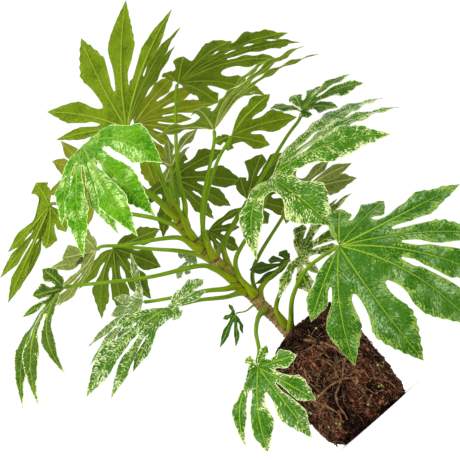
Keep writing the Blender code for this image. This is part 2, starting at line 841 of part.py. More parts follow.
def root_ball():
    draw = random.Random(SEED)
    bumps = [(draw.uniform(0, 2 * math.pi), draw.random(), draw.uniform(-1, 1)) for _ in range(BUMPS)]
    points = []
    outline = ball_outline()
    for row, (height, share) in enumerate(outline):
        for k in range(BALL_SIDES):
            angle = 2 * math.pi * k / BALL_SIDES
            radius = plain_radius(angle, height, share)
            swell = 0.0
            for at, level, size in bumps:
                turn = math.remainder(angle - at, 2 * math.pi)
                swell += size * math.exp(-(turn / BUMP_TURN) ** 2 - ((height - level) / BUMP_LEVEL) ** 2)
            radius += BUMP_HEIGHT * swell * min(1, row)
            worn = max(0.0, -math.cos(angle)) ** 2
            lower = WORN_TOP * worn * smooth((height - WORN_ABOVE) / (1 - WORN_ABOVE))
            up = height * BALL_HEIGHT - lower
            points.append((radius * math.cos(angle), radius * math.sin(angle), up))
    faces = []
    for row in range(len(outline) - 1):
        for k in range(BALL_SIDES):
            a, b = row * BALL_SIDES + k, row * BALL_SIDES + (k + 1) % BALL_SIDES
            faces.append((a, b, b + BALL_SIDES, a + BALL_SIDES))
    faces.append(tuple(range(BALL_SIDES))[::-1])
    last = (len(outline) - 1) * BALL_SIDES
    faces.append(tuple(range(last, last + BALL_SIDES)))
    ball = mesh_object("root_ball", points, faces)
    for number, route in enumerate(ROOTS + loose_roots(draw)):
        line = through([on_ball(turn, height) for turn, height in route], ROOT_ROWS)
        radii = np.linspace(ROOT_RADIUS, ROOT_RADIUS * ROOT_THINNER, ROOT_ROWS)
        join(ball, tube(f"root_{number}", line, radii, ROOT_SIDES))
    socket = [STEM[0] + STEM_FOOT_WAY * (STEM_SUNK + GAP), STEM[0] - STEM_FOOT_WAY * SOCKET_ABOVE]
    wide = STEM_RADIUS * STEM_RING + GAP
    join(ball, tube("socket", np.array(socket), [wide, wide], STEM_SIDES), "DIFFERENCE")
    return ball


def clear_scene():
    for thing in list(bpy.data.objects):
        bpy.data.objects.remove(thing)


def main():
    clear_scene()
    stem().data.materials.append(material("stem", STEM_COLOUR, STEM_ROUGHNESS))
    root_ball().data.materials.append(material("root_ball", SOIL_COLOUR, SOIL_ROUGHNESS))
    for name, leaf in LEAVES.items():
        leaf_object(name, leaf)


main()
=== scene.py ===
"""The looks of a variegated Japanese aralia out of its pot: leaves, bark, soil and roots in fine detail.

The plant stands upright on its root ball, +Z is up, and the side that was drawn faces -Y. The drawing's
steps, the leaves' table and the shapes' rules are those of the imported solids. Lengths are in metres,
apart from the leaves' own coordinates, which are in millimetres.
"""

import math
import random

import bpy
import numpy as np
from mathutils import Matrix, Vector, noise
from mathutils.kdtree import KDTree


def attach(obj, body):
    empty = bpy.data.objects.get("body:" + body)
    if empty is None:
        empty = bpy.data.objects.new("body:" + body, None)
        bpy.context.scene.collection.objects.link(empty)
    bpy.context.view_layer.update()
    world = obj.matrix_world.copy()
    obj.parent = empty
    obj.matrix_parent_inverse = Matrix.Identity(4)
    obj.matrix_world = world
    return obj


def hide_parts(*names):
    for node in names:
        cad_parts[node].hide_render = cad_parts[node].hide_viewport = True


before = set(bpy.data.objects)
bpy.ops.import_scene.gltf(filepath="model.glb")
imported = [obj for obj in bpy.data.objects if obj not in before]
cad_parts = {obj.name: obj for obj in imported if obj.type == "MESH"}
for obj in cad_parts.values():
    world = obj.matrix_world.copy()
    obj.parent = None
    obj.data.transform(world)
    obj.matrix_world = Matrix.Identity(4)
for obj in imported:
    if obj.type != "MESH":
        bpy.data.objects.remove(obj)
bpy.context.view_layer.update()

# Driving dimensions of the solids
BALL_HEIGHT = 0.129
BALL_RADIUS = 0.0560
BALL_TAPER = 0.003
STEM_RADIUS = 0.0072
STEM_TIP_RADIUS = 0.0056
STEM_SUNK = 0.018

# The drawing: its steps, its middle, where the top of the root ball is on it, and how it was seen
GRID = 0.0011
DEPTH = 0.0013
MIDDLE = 230
RIM = (295, 331)
EYE_DISTANCE = 1.4
EYE_PITCH = math.radians(9.5)
LEAN = math.radians(41)

EYE_FORWARD = np.array([0.0, math.cos(EYE_PITCH), math.sin(EYE_PITCH)])
LEVEL_RIGHT = np.array([1.0, 0.0, 0.0])
LEVEL_UP = np.array([0.0, -math.sin(EYE_PITCH), math.cos(EYE_PITCH)])
EYE_RIGHT = math.cos(LEAN) * LEVEL_RIGHT - math.sin(LEAN) * LEVEL_UP
EYE_UP = math.sin(LEAN) * LEVEL_RIGHT + math.cos(LEAN) * LEVEL_UP


def ray(across, down):
    """From the eye to this step of the drawing, EYE_DISTANCE deep."""
    side = (across - MIDDLE) * GRID * EYE_RIGHT
    height = (MIDDLE - down) * GRID * EYE_UP
    return side + height + EYE_DISTANCE * EYE_FORWARD


EYE = np.array([0.0, 0.0, BALL_HEIGHT]) - ray(*RIM)


def place(across, down, front):
    """Where this step of the drawing is on the plant, front steps before the stem's plane."""
    way = ray(across, down)
    return EYE + way * ((-front * DEPTH - EYE[1]) / way[1])


# The stem's middle line from the soil to the growing tip
STEM_LINE = [
    (291, 335, 0),
    (277, 319, 0),
    (262, 306, 0),
    (250, 293, 0),
    (237, 281, 0),
    (225, 269, 0),
    (214, 260, 0),
    (203, 249, 0),
    (193, 240, 0),
    (185, 228, 0),
    (177, 216, 0),
    (171, 205, 0),
]

# Each leaf: tone is the side and colour that faces -Y, and hub is where the stalk meets the blade. lobes
# are (across, down, width) for each tip, with the width in grid steps and then, where needed, steps added
# to the front, a twist in degrees and a sideways bend. They go anticlockwise round the hub as seen from
# the blade's upper side. slope is how many steps the blade comes forward for a step right and for a step
# down. web is the share of a lobe that is joined to its neighbours. stalk runs from the stem to the hub.
LEAVES = {
    "leaf_01": {
        "tone": "underside",
        "hub": (127, 129, -5),
        "slope": (0.0, -0.2),
        "lobes": [
            (56, 140, 13, 0, 0, 0.035), (47, 112, 26, 0, 0, 0.05), (81, 38, 33, 0, 0, -0.04),
            (126, 0, 28, 0, 0, -0.045), (172, 9, 17, -12, 0, -0.03), (181, 27, 14, -28),
            (175, 46, 15, -48, 0, 0.03),
        ],
        "web": 0.36,
        "stalk": [(189, 234, 5), (178, 209, 14), (163, 183, 12), (150, 157, 4)],
    },
    "leaf_02": {
        "tone": "underside",
        "hub": (134, 124, -45),
        "slope": (-0.45, -0.6),
        "lobes": [
            (140, 70, 18, -10), (176, 74, 18), (200, 86, 16), (217, 103, 18), (192, 119, 14),
            (180, 131, 14), (172, 145, 16), (171, 166, 14), (160, 195, 20),
        ],
        "web": 0.45,
        "stalk": [(173, 209, -4), (166, 190, -16), (152, 150, -34)],
    },
    "leaf_03": {
        "tone": "underside",
        "hub": (178, 83, -20),
        "slope": (-0.2, -1.3),
        "lobes": [
            (164, 73, 14), (184, 57, 20), (232, 41, 28), (288, 33, 32), (300, 42, 22), (280, 59, 24),
            (265, 95, 28), (218, 103, 28),
        ],
        "web": 0.46,
        "stalk": [(181, 222, 5), (185, 205, 10), (179, 178, 0), (176, 140, -10)],
    },
    "leaf_04": {
        "tone": "underside",
        "hub": (214, 129, 35),
        "slope": (0.0, 0.0),
        "lobes": [
            (156, 137, 24, -5), (196, 110, 20, 50), (250, 80, 18, 60), (270, 59, 18, 35),
            (304, 46, 18, 5), (319, 54, 20, -25), (258, 92, 16, -50),
        ],
        "web": 0.35,
        "stalk": [(212, 252, 5), (203, 228, 18), (203, 200, 26), (211, 160, 33)],
    },
    "leaf_05": {
        "tone": "fresh",
        "hub": (83, 145, 50),
        "slope": (0.45, 0.55),
        "lobes": [
            (62, 226, 20), (84, 258, 28), (118, 234, 24, -8), (138, 237, 34, 6), (156, 217, 31, -8),
            (162, 163, 42, 0, 0, 0.09),
        ],
        "web": 0.30,
        "stalk": [(176, 214, 5), (154, 198, 22), (112, 162, 42)],
    },
    "leaf_06": {
        "tone": "underside",
        "hub": (50, 205, -35),
        "slope": (0.1, -0.2),
        "lobes": [
            (66, 232, 16), (46, 249, 19), (23, 283, 9, -14), (8, 303, 19), (0, 278, 14), (8, 252, 14),
            (36, 183, 22),
        ],
        "web": 0.45,
        "stalk": [(185, 230, -5), (165, 221, -15), (138, 215, -22), (90, 208, -32)],
    },
    "leaf_07": {
        "tone": "underside",
        "hub": (88, 178, -10),
        "slope": (0.2, -0.2),
        "lobes": [
            (82, 232, 18), (58, 222, 16), (48, 194, 18), (52, 161, 18), (61, 141, 16), (92, 136, 18),
        ],
        "web": 0.40,
        "stalk": [(172, 207, -3), (150, 193, -4), (112, 182, -9)],
    },
    "leaf_08": {
        "tone": "underside",
        "hub": (97, 250, 0),
        "slope": (0.3, 0.2),
        "lobes": [
            (58, 306, 10), (50, 309, 12), (45, 298, 10), (50, 268, 16, -14), (62, 258, 34), (72, 226, 18),
        ],
        "web": 0.40,
        "stalk": [(196, 246, 4), (180, 238, 8), (160, 239, 8), (126, 245, 5)],
    },
    "leaf_09": {
        "tone": "silvery",
        "hub": (64, 288, 25),
        "slope": (0.0, 0.2),
        "lobes": [
            (42, 269, 19, 8), (32, 296, 20, 12), (21, 318, 8), (23, 409, 16, -6, 0, -0.12),
            (39, 407, 17, 6, 0, -0.14), (66, 375, 14, 0, 0, -0.21),
        ],
        "web": 0.30,
        "stalk": [(230, 278, 5), (214, 269, 12), (198, 266, 16), (150, 277, 22), (100, 283, 25)],
    },
    "leaf_10": {
        "tone": "underside",
        "hub": (114, 248, -50),
        "slope": (0.0, -0.2),
        "lobes": [
            (160, 229, 20), (161, 267, 25), (151, 299, 24, 0, 0, 0.04), (128, 319, 22, 0, 0, 0.07),
            (102, 319, 22, 0, 0, 0.12), (79, 289, 15, -10, 0, 0.06),
        ],
        "web": 0.30,
        "stalk": [(206, 256, -5), (180, 251, -18), (152, 249, -32)],
    },
    "leaf_11": {
        "tone": "underside",
        "hub": (231, 136, -30),
        "slope": (-0.5, -0.5),
        "lobes": [
            (270, 94, 22), (297, 117, 26), (270, 145, 18), (228, 151, 14), (215, 143, 12),
        ],
        "web": 0.48,
        "stalk": [(202, 248, -4), (203, 222, -12), (208, 190, -20), (218, 160, -26)],
    },
    "leaf_12": {
        "tone": "green",
        "hub": (302, 111, -20),
        "slope": (0.0, 0.0),
        "lobes": [
            (270, 109, 19, 2), (308, 118, 15, 12), (338, 108, 24, 18), (364, 83, 22, 0, 20),
            (350, 74, 16, -6), (322, 86, 20, -18), (294, 95, 18, -14),
        ],
        "web": 0.35,
        "stalk": [(228, 264, -4), (224, 243, -10), (236, 221, -15), (258, 184, -20), (286, 138, -22)],
    },
    "leaf_13": {
        "tone": "cream_edged",
        "hub": (271, 178, 30),
        "slope": (0.1, 0.5),
        "lobes": [
            (257, 260, 24, 0, 0, -0.1), (332, 226, 50), (391, 134, 46, 35, 0, 0.03), (399, 107, 26, 0),
            (383, 98, 28, -35),
        ],
        "web": 0.24,
        "stalk": [(250, 290, 4), (239, 276, 10), (236, 258, 14), (250, 232, 20), (264, 204, 25)],
    },
    "leaf_14": {
        "tone": "underside",
        "hub": (295, 193, -45),
        "slope": (-0.2, -0.3),
        "lobes": [
            (288, 160, 16, -10), (330, 158, 13, -10), (352, 163, 16), (357, 178, 26, -14), (318, 205, 20),
            (286, 224, 16),
        ],
        "web": 0.38,
        "stalk": [(264, 303, -4), (254, 286, -20), (253, 270, -32), (262, 250, -36), (282, 218, -42)],
    },
    "leaf_15": {
        "tone": "underside",
        "hub": (247, 200, -60),
        "slope": (-0.3, -0.5),
        "lobes": [
            (240, 177, 18), (262, 154, 32), (285, 152, 26), (302, 180, 22), (296, 212, 20),
            (268, 224, 18),
        ],
        "web": 0.50,
        "stalk": [(216, 260, -5), (226, 236, -32), (238, 215, -54)],
    },
    "leaf_16": {
        "tone": "underside",
        "hub": (172, 178, -75),
        "slope": (-0.3, -0.5),
        "lobes": [
            (184, 152, 18), (222, 150, 22), (243, 181, 30), (231, 206, 24), (214, 219, 18),
            (163, 238, 18), (142, 204, 18),
        ],
        "web": 0.42,
        "stalk": [(181, 222, -4), (176, 208, -32), (171, 192, -55)],
    },
    "leaf_17": {
        "tone": "green",
        "hub": (171, 166, -45),
        "slope": (0.0, -0.5),
        "lobes": [
            (164, 184, 12), (158, 160, 10), (168, 140, 12), (198, 128, 14), (190, 147, 10, -14),
        ],
        "web": 0.35,
        "stalk": [(176, 214, -5), (178, 202, -20), (173, 184, -34)],
    },
    "leaf_18": {
        "tone": "speckled",
        "hub": (339, 246, 80),
        "slope": (0.05, 0.05),
        "lobes": [
            (311, 322, 22), (355, 366, 33, 0, 0, -0.05), (424, 361, 41, 0, 0, -0.02),
            (474, 326, 48, 0, 0, 0.07), (494, 280, 32, 0, 0, 0.05), (490, 233, 22, 0, 0, 0.02),
            (460, 184, 29, 0, 0, -0.075), (384, 201, 26, -25, 0, -0.04), (340, 209, 25, -20),
        ],
        "web": 0.42,
        "stalk": [(291, 331, 6), (291, 318, 18), (293, 296, 34), (306, 270, 52), (326, 254, 68)],
    },
    "leaf_19": {
        "tone": "cream_edged",
        "hub": (258, 367, 82),
        "slope": (0.0, 0.05),
        "lobes": [
            (246, 358, 9), (246, 447, 14, 0, 0, -0.14), (268, 453, 26, 0, 0, -0.05), (312, 438, 26),
            (316, 400, 24), (297, 355, 18), (267, 345, 9),
        ],
        "web": 0.34,
        "stalk": [(266, 310, 5), (258, 318, 26), (256, 332, 50), (259, 350, 72)],
    },
    "leaf_20": {
        "tone": "dark",
        "hub": (235, 314, 16),
        "slope": (0.0, 0.1),
        "lobes": [
            (229, 304, 4), (223, 319, 5), (220, 348, 7), (236, 347, 6), (243, 334, 5, -8),
        ],
        "web": 0.30,
        "stalk": [(256, 303, 5), (246, 311, 12)],
        "stalk_radius": (0.9, 0.7),
    },
    "leaf_21": {
        "tone": "speckled",
        "hub": (168, 307, 55),
        "slope": (-0.1, 0.2),
        "lobes": [
            (116, 326, 14), (86, 398, 25, 0, 0, -0.07), (111, 399, 14, -4, 0, -0.05),
            (133, 372, 14, -4, 0, -0.02), (180, 318, 15), (206, 291, 12), (204, 279, 18),
        ],
        "web": 0.42,
        "arch": 0.05,
        "stalk": [(243, 293, 6), (226, 297, 24), (200, 300, 40), (183, 304, 50)],
    },
    "leaf_22": {
        "tone": "silvery",
        "hub": (143, 302, 15),
        "slope": (0.0, 0.1),
        "lobes": [
            (131, 253, 8), (114, 298, 10), (111, 316, 15), (88, 347, 8), (90, 365, 9), (117, 346, 13),
        ],
        "web": 0.30,
        "stalk": [(238, 286, 5), (225, 289, 12), (205, 291, 15), (176, 297, 16)],
    },
    "leaf_23": {
        "tone": "silvery",
        "hub": (195, 254, -30),
        "slope": (0.3, -0.3),
        "lobes": [
            (178, 254, 10), (177, 279, 14), (186, 275, 12), (194, 268, 10),
        ],
        "web": 0.45,
        "stalk": [(222, 268, -6), (207, 257, -24)],
    },
    "leaf_24": {
        "tone": "underside",
        "hub": (208, 231, -42),
        "slope": (-0.3, -0.3),
        "lobes": [
            (246, 206, 8), (240, 227, 10), (239, 250, 18), (224, 254, 12), (209, 254, 10),
        ],
        "web": 0.40,
        "stalk": [(198, 243, -5), (200, 238, -24)],
    },
    "leaf_25": {
        "tone": "cream_edged",
        "hub": (298, 257, 22),
        "slope": (0.2, 0.3),
        "lobes": [
            (279, 298, 12), (309, 293, 26), (320, 274, 9), (338, 246, 24), (352, 229, 18),
            (352, 193, 11), (338, 198, 11, -16), (303, 224, 18),
        ],
        "web": 0.32,
        "stalk": [(280, 322, 5), (276, 308, 12), (281, 291, 18), (290, 276, 20)],
    },
    "leaf_26": {
        "tone": "underside",
        "hub": (290, 260, -12),
        "slope": (0.2, 0.2),
        "lobes": [
            (255, 284, 10), (249, 270, 18), (268, 260, 16), (279, 252, 14),
        ],
        "web": 0.35,
        "stalk": [(256, 298, 2), (263, 285, -5), (276, 272, -10)],
    },
}

FULL_TURN = 2 * math.pi
MM = 1000
CURVE_STEPS = 16


def unit(vector):
    return vector / np.linalg.norm(vector)


def smooth(x):
    x = min(max(x, 0.0), 1.0)
    return x * x * (3 - 2 * x)


def hump(x):
    """1 at 0, falling away on both sides."""
    return math.exp(-x * x)


def circle(count):
    """count angles, evenly all the way round."""
    return [FULL_TURN * k / count for k in range(count)]


def run_of(line):
    """How far along the line each of its points is."""
    return np.concatenate([[0], np.cumsum(np.linalg.norm(np.diff(line, axis=0), axis=1))])


def through(points, count, crowd=1.0):
    """count places along a smooth curve through all the points, closer at its start if crowd is over 1."""
    points = [np.array(p, float) for p in points]
    ends = [2 * points[0] - points[1]] + points + [2 * points[-1] - points[-2]]
    fine = []
    for p0, p1, p2, p3 in zip(ends, ends[1:], ends[2:], ends[3:]):
        a = -p0 + 3 * p1 - 3 * p2 + p3
        b = 2 * p0 - 5 * p1 + 4 * p2 - p3
        for t in np.linspace(0, 1, CURVE_STEPS, endpoint=False):
            fine.append(0.5 * (2 * p1 + (p2 - p0) * t + b * t * t + a * t * t * t))
    fine = np.array(fine + [points[-1]])
    along = run_of(fine)
    wanted = np.linspace(0, 1, count) ** crowd * along[-1]
    return np.array([np.interp(wanted, along, fine[:, k]) for k in range(3)]).T


# Meshes

# Edges that bend by more degrees than this are sharp
SHARP = 50
SOIL_SHARP = 180
CHIP_SHARP = 30

# A tube's first way across is square to this one, unless it is given
TUBE_ACROSS = (0.3, -0.2, 0.9)


def object_with(name, data):
    """An object of that name in the scene."""
    made = bpy.data.objects.new(name, data)
    bpy.context.scene.collection.objects.link(made)
    return made


def bands(rows, sides, first=0):
    """(row, column, corners) of each face between closed rows of points."""
    for row in range(rows - 1):
        for k in range(sides):
            a = first + row * sides + k
            b = first + row * sides + (k + 1) % sides
            yield row, k, (a, b, b + sides, a + sides)


class Growth:
    """One piece's mesh while it is made: points, faces, and where each face's corners are on the piece."""

    def __init__(self):
        self.points = []
        self.faces = []
        self.kinds = []
        self.spread = []
        self.margin = []

    def add(self, points):
        """Adds the points and returns the number of the first."""
        first = len(self.points)
        self.points.extend(tuple(p) for p in points)
        return first

    def face(self, corners, kind=0, spread=None, margin=None):
        """spread is (across, along) for each corner, margin (to the edge, share of the length)."""
        self.faces.append(tuple(corners))
        self.kinds.append(kind)
        self.spread.extend(spread or [(0.0, 0.0)] * len(corners))
        self.margin.extend(margin or [(0.0, 0.0)] * len(corners))

    def ends(self, first, rows, sides, kind=0, margin=None):
        """The flat faces that close the first and the last of those rows of points."""
        last = first + (rows - 1) * sides
        self.face(range(first, first + sides)[::-1], kind)
        self.face(range(last, last + sides), kind, margin=margin)

    def tube(self, line, radii, sides, kind=0, across=None, stretch=None):
        """A closed tube. stretch widens each row along across, which starts square to the line."""
        line = np.asarray(line, float)
        ways = np.gradient(line, axis=0)
        ways /= np.linalg.norm(ways, axis=1)[:, None]
        along = run_of(line) * MM
        side = unit(np.cross(ways[0], TUBE_ACROSS) if across is None else across)
        turns = circle(sides)
        points = []
        for row, (spot, way, radius) in enumerate(zip(line, ways, radii)):
            side = unit(side - way * side.dot(way))
            other = np.cross(way, side)
            wide = radius * (1 if stretch is None else stretch[row])
            points += [spot + wide * math.cos(a) * side + radius * math.sin(a) * other for a in turns]
        first = self.add(points)
        widths = [radius * MM * FULL_TURN / sides for radius in radii]
        for row, k, corners in bands(len(line), sides, first):
            near, far = k * widths[row], (k + 1) * widths[row]
            here, beyond = along[row], along[row + 1]
            spread = [(near, here), (far, here), (far, beyond), (near, beyond)]
            shares = [here / along[-1]] * 2 + [beyond / along[-1]] * 2
            self.face(corners, kind, spread, [(here, share) for share in shares])
        self.ends(first, len(line), sides, kind, [(along[-1], 1.0)] * sides)

    def finished(self, name, materials, sharp=SHARP):
        mesh = bpy.data.meshes.new(name)
        mesh.from_pydata(self.points, [], self.faces)
        for layer, values in (("spread", self.spread), ("margin", self.margin)):
            made = mesh.uv_layers.new(name=layer)
            made.data.foreach_set("uv", np.array(values, dtype=np.float32).ravel())
        mesh.polygons.foreach_set("material_index", self.kinds)
        for look in materials:
            mesh.materials.append(look)
        mesh.shade_smooth()
        mesh.set_sharp_from_angle(angle=math.radians(sharp))
        return object_with(name, mesh)


def normals_of(points, faces):
    """Each point's mean facing direction."""
    facing = np.zeros_like(points)
    for count in (3, 4):
        group = np.array([f for f in faces if len(f) == count])
        if len(group):
            corners = points[group]
            normal = np.cross(corners[:, 2] - corners[:, 0], corners[:, -1] - corners[:, 1])
            if count == 3:
                normal = np.cross(corners[:, 1] - corners[:, 0], corners[:, 2] - corners[:, 0])
            for corner in range(count):
                np.add.at(facing, group[:, corner], normal)
    return facing / np.linalg.norm(facing, axis=1)[:, None]


# Blades: the lobes' outline, as in the solids

TEETH_FROM = 18
WEB_LEAST = 0.2
WEB_MOST = 0.6
WIDEST = 0.46
TIP_POWER = 1.7
TIP_NARROWS = 0.3
EDGE_SHARE = 0.47
EDGE_LEAST = 0.0003
TOWARD_LEAST = 0.4
NECK = 0.72
ARCH = 0.10
BLADE = 0.0005
PUSH_MOST = 1.15

# How much a leaf's mean facing counts for each lobe's, beside its neighbours'
MEAN_SHARE = 0.35

# How finely a blade is cut into faces, and the round end of the gap between two lobes
ROW = 0.0019
ROWS_LEAST = 8
WEB_ROWS_LEAST = 4
RIB_POINTS = 20
ROUND = 0.12
ROUND_ROWS = 5
ROUND_SHARE = 0.88
COLUMNS = (0.2, 0.42, 0.64, 0.84, 1.0)

# Shares of the way from the sinus to the tip where a lobe's edge has its twist, points its own way, and
# has left the sinus behind
TWISTED = 0.5
OPENED = 0.6
PARTED = 0.25

# The first and last lobes' outer edges beside the hub: their width, how much of it they start with, and
# where they have left the hub
OUTER_WIDTH = 0.8
OUTER_START = 0.25
OUTER_OPENED = 0.5

# Relief, in metres: ribs below, furrows above, pillows between side veins, waves of the edge, teeth
RIB_HALF = 0.0012
RIB_HEIGHT = 0.0014
FURROW = 0.00028
PILLOW = 0.085
QUILT = 0.00030
WAVE = 0.0014
WAVE_LENGTH = 0.027
WAVE_ENDS = (0.3, 0.2)
CRINKLE = 0.0009
CRINKLE_SIZE = 0.014
TOOTH = 0.0024
TOOTH_STEP = 0.0088

# How much lower, shallower and narrower ribs and furrows are at the tip, and beside the midrib
RIB_LOWERS = 0.88
FURROW_LOWERS = 0.6
RIB_NARROWS = 0.72
RIB_SHOULDER = 0.72
FURROW_SHOULDER = 0.5
SHOULDER = 0.5
SHOULDER_MOST = 0.16
RIB_FOOT_MOST = 0.36

# A tooth rises over this share of its step and starts so far inside the edge. Teeth are of all these
# sizes, small on narrow lobes, begin and end softly, and need room to the next lobe
TOOTH_RISE = 0.75
TOOTH_INSIDE = 0.4
TOOTH_SIZES = (0.25, 1.0)
NARROW_TEETH = 0.3
TEETH_BEGIN = (0.28, 0.15)
TEETH_END = (0.97, 0.12)
TOOTH_ROOM = 0.3

# Side veins in millimetres: from one to the next, how far they run forward for one outward, their half
VEIN_STEP = 9.0
VEIN_SLANT = 0.85
VEIN_HALF = 1.1


def half_width(s, half, start):
    """How far the edge is from the lobe's midrib, s of the way from the sinus to the tip."""
    neck = min(start * ROUND_SHARE, NECK * half)
    if s < ROUND:
        return start + (neck - start) * math.sqrt(1 - (1 - s / ROUND) ** 2)
    if s < WIDEST:
        return neck + (half - neck) * smooth((s - ROUND) / (WIDEST - ROUND))
    x = (s - WIDEST) / (1 - WIDEST)
    return half * (1 - x**TIP_POWER) * (1 - TIP_NARROWS * x)


def turned(vector, axis, angle):
    """The vector turned about the axis."""
    across = np.cross(axis, vector)
    kept = axis * axis.dot(vector) * (1 - math.cos(angle))
    return vector * math.cos(angle) + across * math.sin(angle) + kept


class Lobe:
    """One lobe: its midrib from the hub to the tip, and which way is up and sideways on it."""

    def __init__(self, leaf, numbers):
        across, down, width, extra, twist, bend = (tuple(numbers) + (0, 0, 0))[:6]
        hub_across, hub_down, hub_front = leaf["hub"]
        slope_right, slope_down = leaf["slope"]
        front = hub_front + slope_right * (across - hub_across) + slope_down * (down - hub_down) + extra
        self.hub = place(*leaf["hub"])
        self.way = place(across, down, front) - self.hub
        self.reach = np.linalg.norm(self.way)
        self.half = width * GRID / 2
        self.twist = math.radians(twist)
        self.bend = bend
        self.arch = leaf.get("arch", ARCH)
        self.toothed = width >= TEETH_FROM
        self.web = leaf["web"]
        self.up = None
        self.side = None

    def middle(self, t):
        """The midrib's place t of the way to the tip."""
        rise = 4 * t * (1 - t) * self.reach
        return self.hub + self.way * t + rise * (self.arch * self.up + self.bend * self.side)


def lobes_of(leaf):
    """(lobes, the mean way that they face)."""
    lobes = [Lobe(leaf, numbers) for numbers in leaf["lobes"]]
    ways = [unit(lobe.way) for lobe in lobes]
    crosses = [np.cross(a, b) for a, b in zip(ways, ways[1:])]
    mean = unit(sum(crosses))
    for i, lobe in enumerate(lobes):
        near = sum(crosses[max(i - 1, 0):i + 1], MEAN_SHARE * mean)
        lobe.side = unit(np.cross(near, ways[i]))
        lobe.up = np.cross(ways[i], lobe.side)
    reaches = [lobe.reach for lobe in lobes]
    padded = reaches[:1] + reaches + reaches[-1:]
    for lobe, before, own, after in zip(lobes, padded, reaches, padded[2:]):
        lobe.web = min(max(lobe.web * (before + own + after) / own / 3, WEB_LEAST), WEB_MOST)
    return lobes, mean


def shared_edge(first, second):
    """The line where two lobes are joined, from the hub at 0 to the sinus between them at 1."""
    hub = first.hub

    def between(share):
        return (first.middle(first.web * share) + second.middle(second.web * share)) / 2 - hub

    reaches = [np.linalg.norm(lobe.middle(lobe.web) - hub) for lobe in (first, second)]
    push = min(sum(reaches) / 2 / np.linalg.norm(between(1)), PUSH_MOST)
    return lambda share: hub + between(share) * push


def rib_line(lobe, start):
    """The lobe's midrib from start to the tip."""
    return np.array([lobe.middle(t) for t in np.linspace(start, 1, RIB_POINTS)])


def clear_width(spot, out, others):
    """How far out from its midrib an edge may be here to stay clear of the other lobes."""
    away = others - spot
    far = np.linalg.norm(away, axis=1)
    toward = np.maximum(away.dot(out) / far, TOWARD_LEAST)
    return EDGE_SHARE * (far / toward).min() - BLADE


def tooth(s, along, phase, size):
    """How far the edge stands out for its teeth, which lean towards the tip."""
    turn = (along / TOOTH_STEP + phase) % 1
    saw = turn / TOOTH_RISE if turn < TOOTH_RISE else (1 - turn) / (1 - TOOTH_RISE)
    begin, growing = TEETH_BEGIN
    end, fading = TEETH_END
    return size * (saw - TOOTH_INSIDE) * smooth((s - begin) / growing) * smooth((end - s) / fading)


def free_edge(lobe, side, start, others, draw):
    """The lobe's own edge on one side, from the sinus to near the tip, clear of the other lobes."""
    offset = start - lobe.middle(lobe.web)
    first = np.linalg.norm(offset)
    way = unit(lobe.way)
    behind = offset.dot(way)
    beside = offset - behind * way
    phase = draw.random()
    size = TOOTH * draw.uniform(*TOOTH_SIZES) * (1.0 if lobe.toothed else NARROW_TEETH)

    def at(s):
        t = lobe.web + (1 - lobe.web) * s
        out = turned(side * lobe.side, way, lobe.twist * smooth(s / TWISTED))
        opened = smooth(s / OPENED)
        out = unit(unit(beside) * (1 - opened) + out * opened)
        out = unit(out * np.linalg.norm(beside) + way * behind * (1 - smooth(s / PARTED)))
        spot = lobe.middle(t)
        own, clear = half_width(s, lobe.half, first), clear_width(spot, out, others)
        stands_out = tooth(s, t * lobe.reach, phase, size) * smooth((clear - own) / TOOTH + TOOTH_ROOM)
        return spot + out * max(min(own, clear) + stands_out, EDGE_LEAST)

    return at


def free_rows(lobe):
    """Shares of the way from the sinus to the tip where a free lobe has its rows."""
    turns = [math.pi / 2 * k / ROUND_ROWS for k in range(1, ROUND_ROWS + 1)]
    rounded = [ROUND * (1 - math.cos(a)) for a in turns]
    count = max(ROWS_LEAST, round(lobe.reach * (1 - lobe.web) * (1 - ROUND) / ROW))
    return rounded + [ROUND + (1 - ROUND) * k / count for k in range(1, count)]


def rib_height(t):
    return RIB_HEIGHT * (1 - RIB_LOWERS * t)


def furrow_depth(t):
    return FURROW * (1 - FURROW_LOWERS * t)


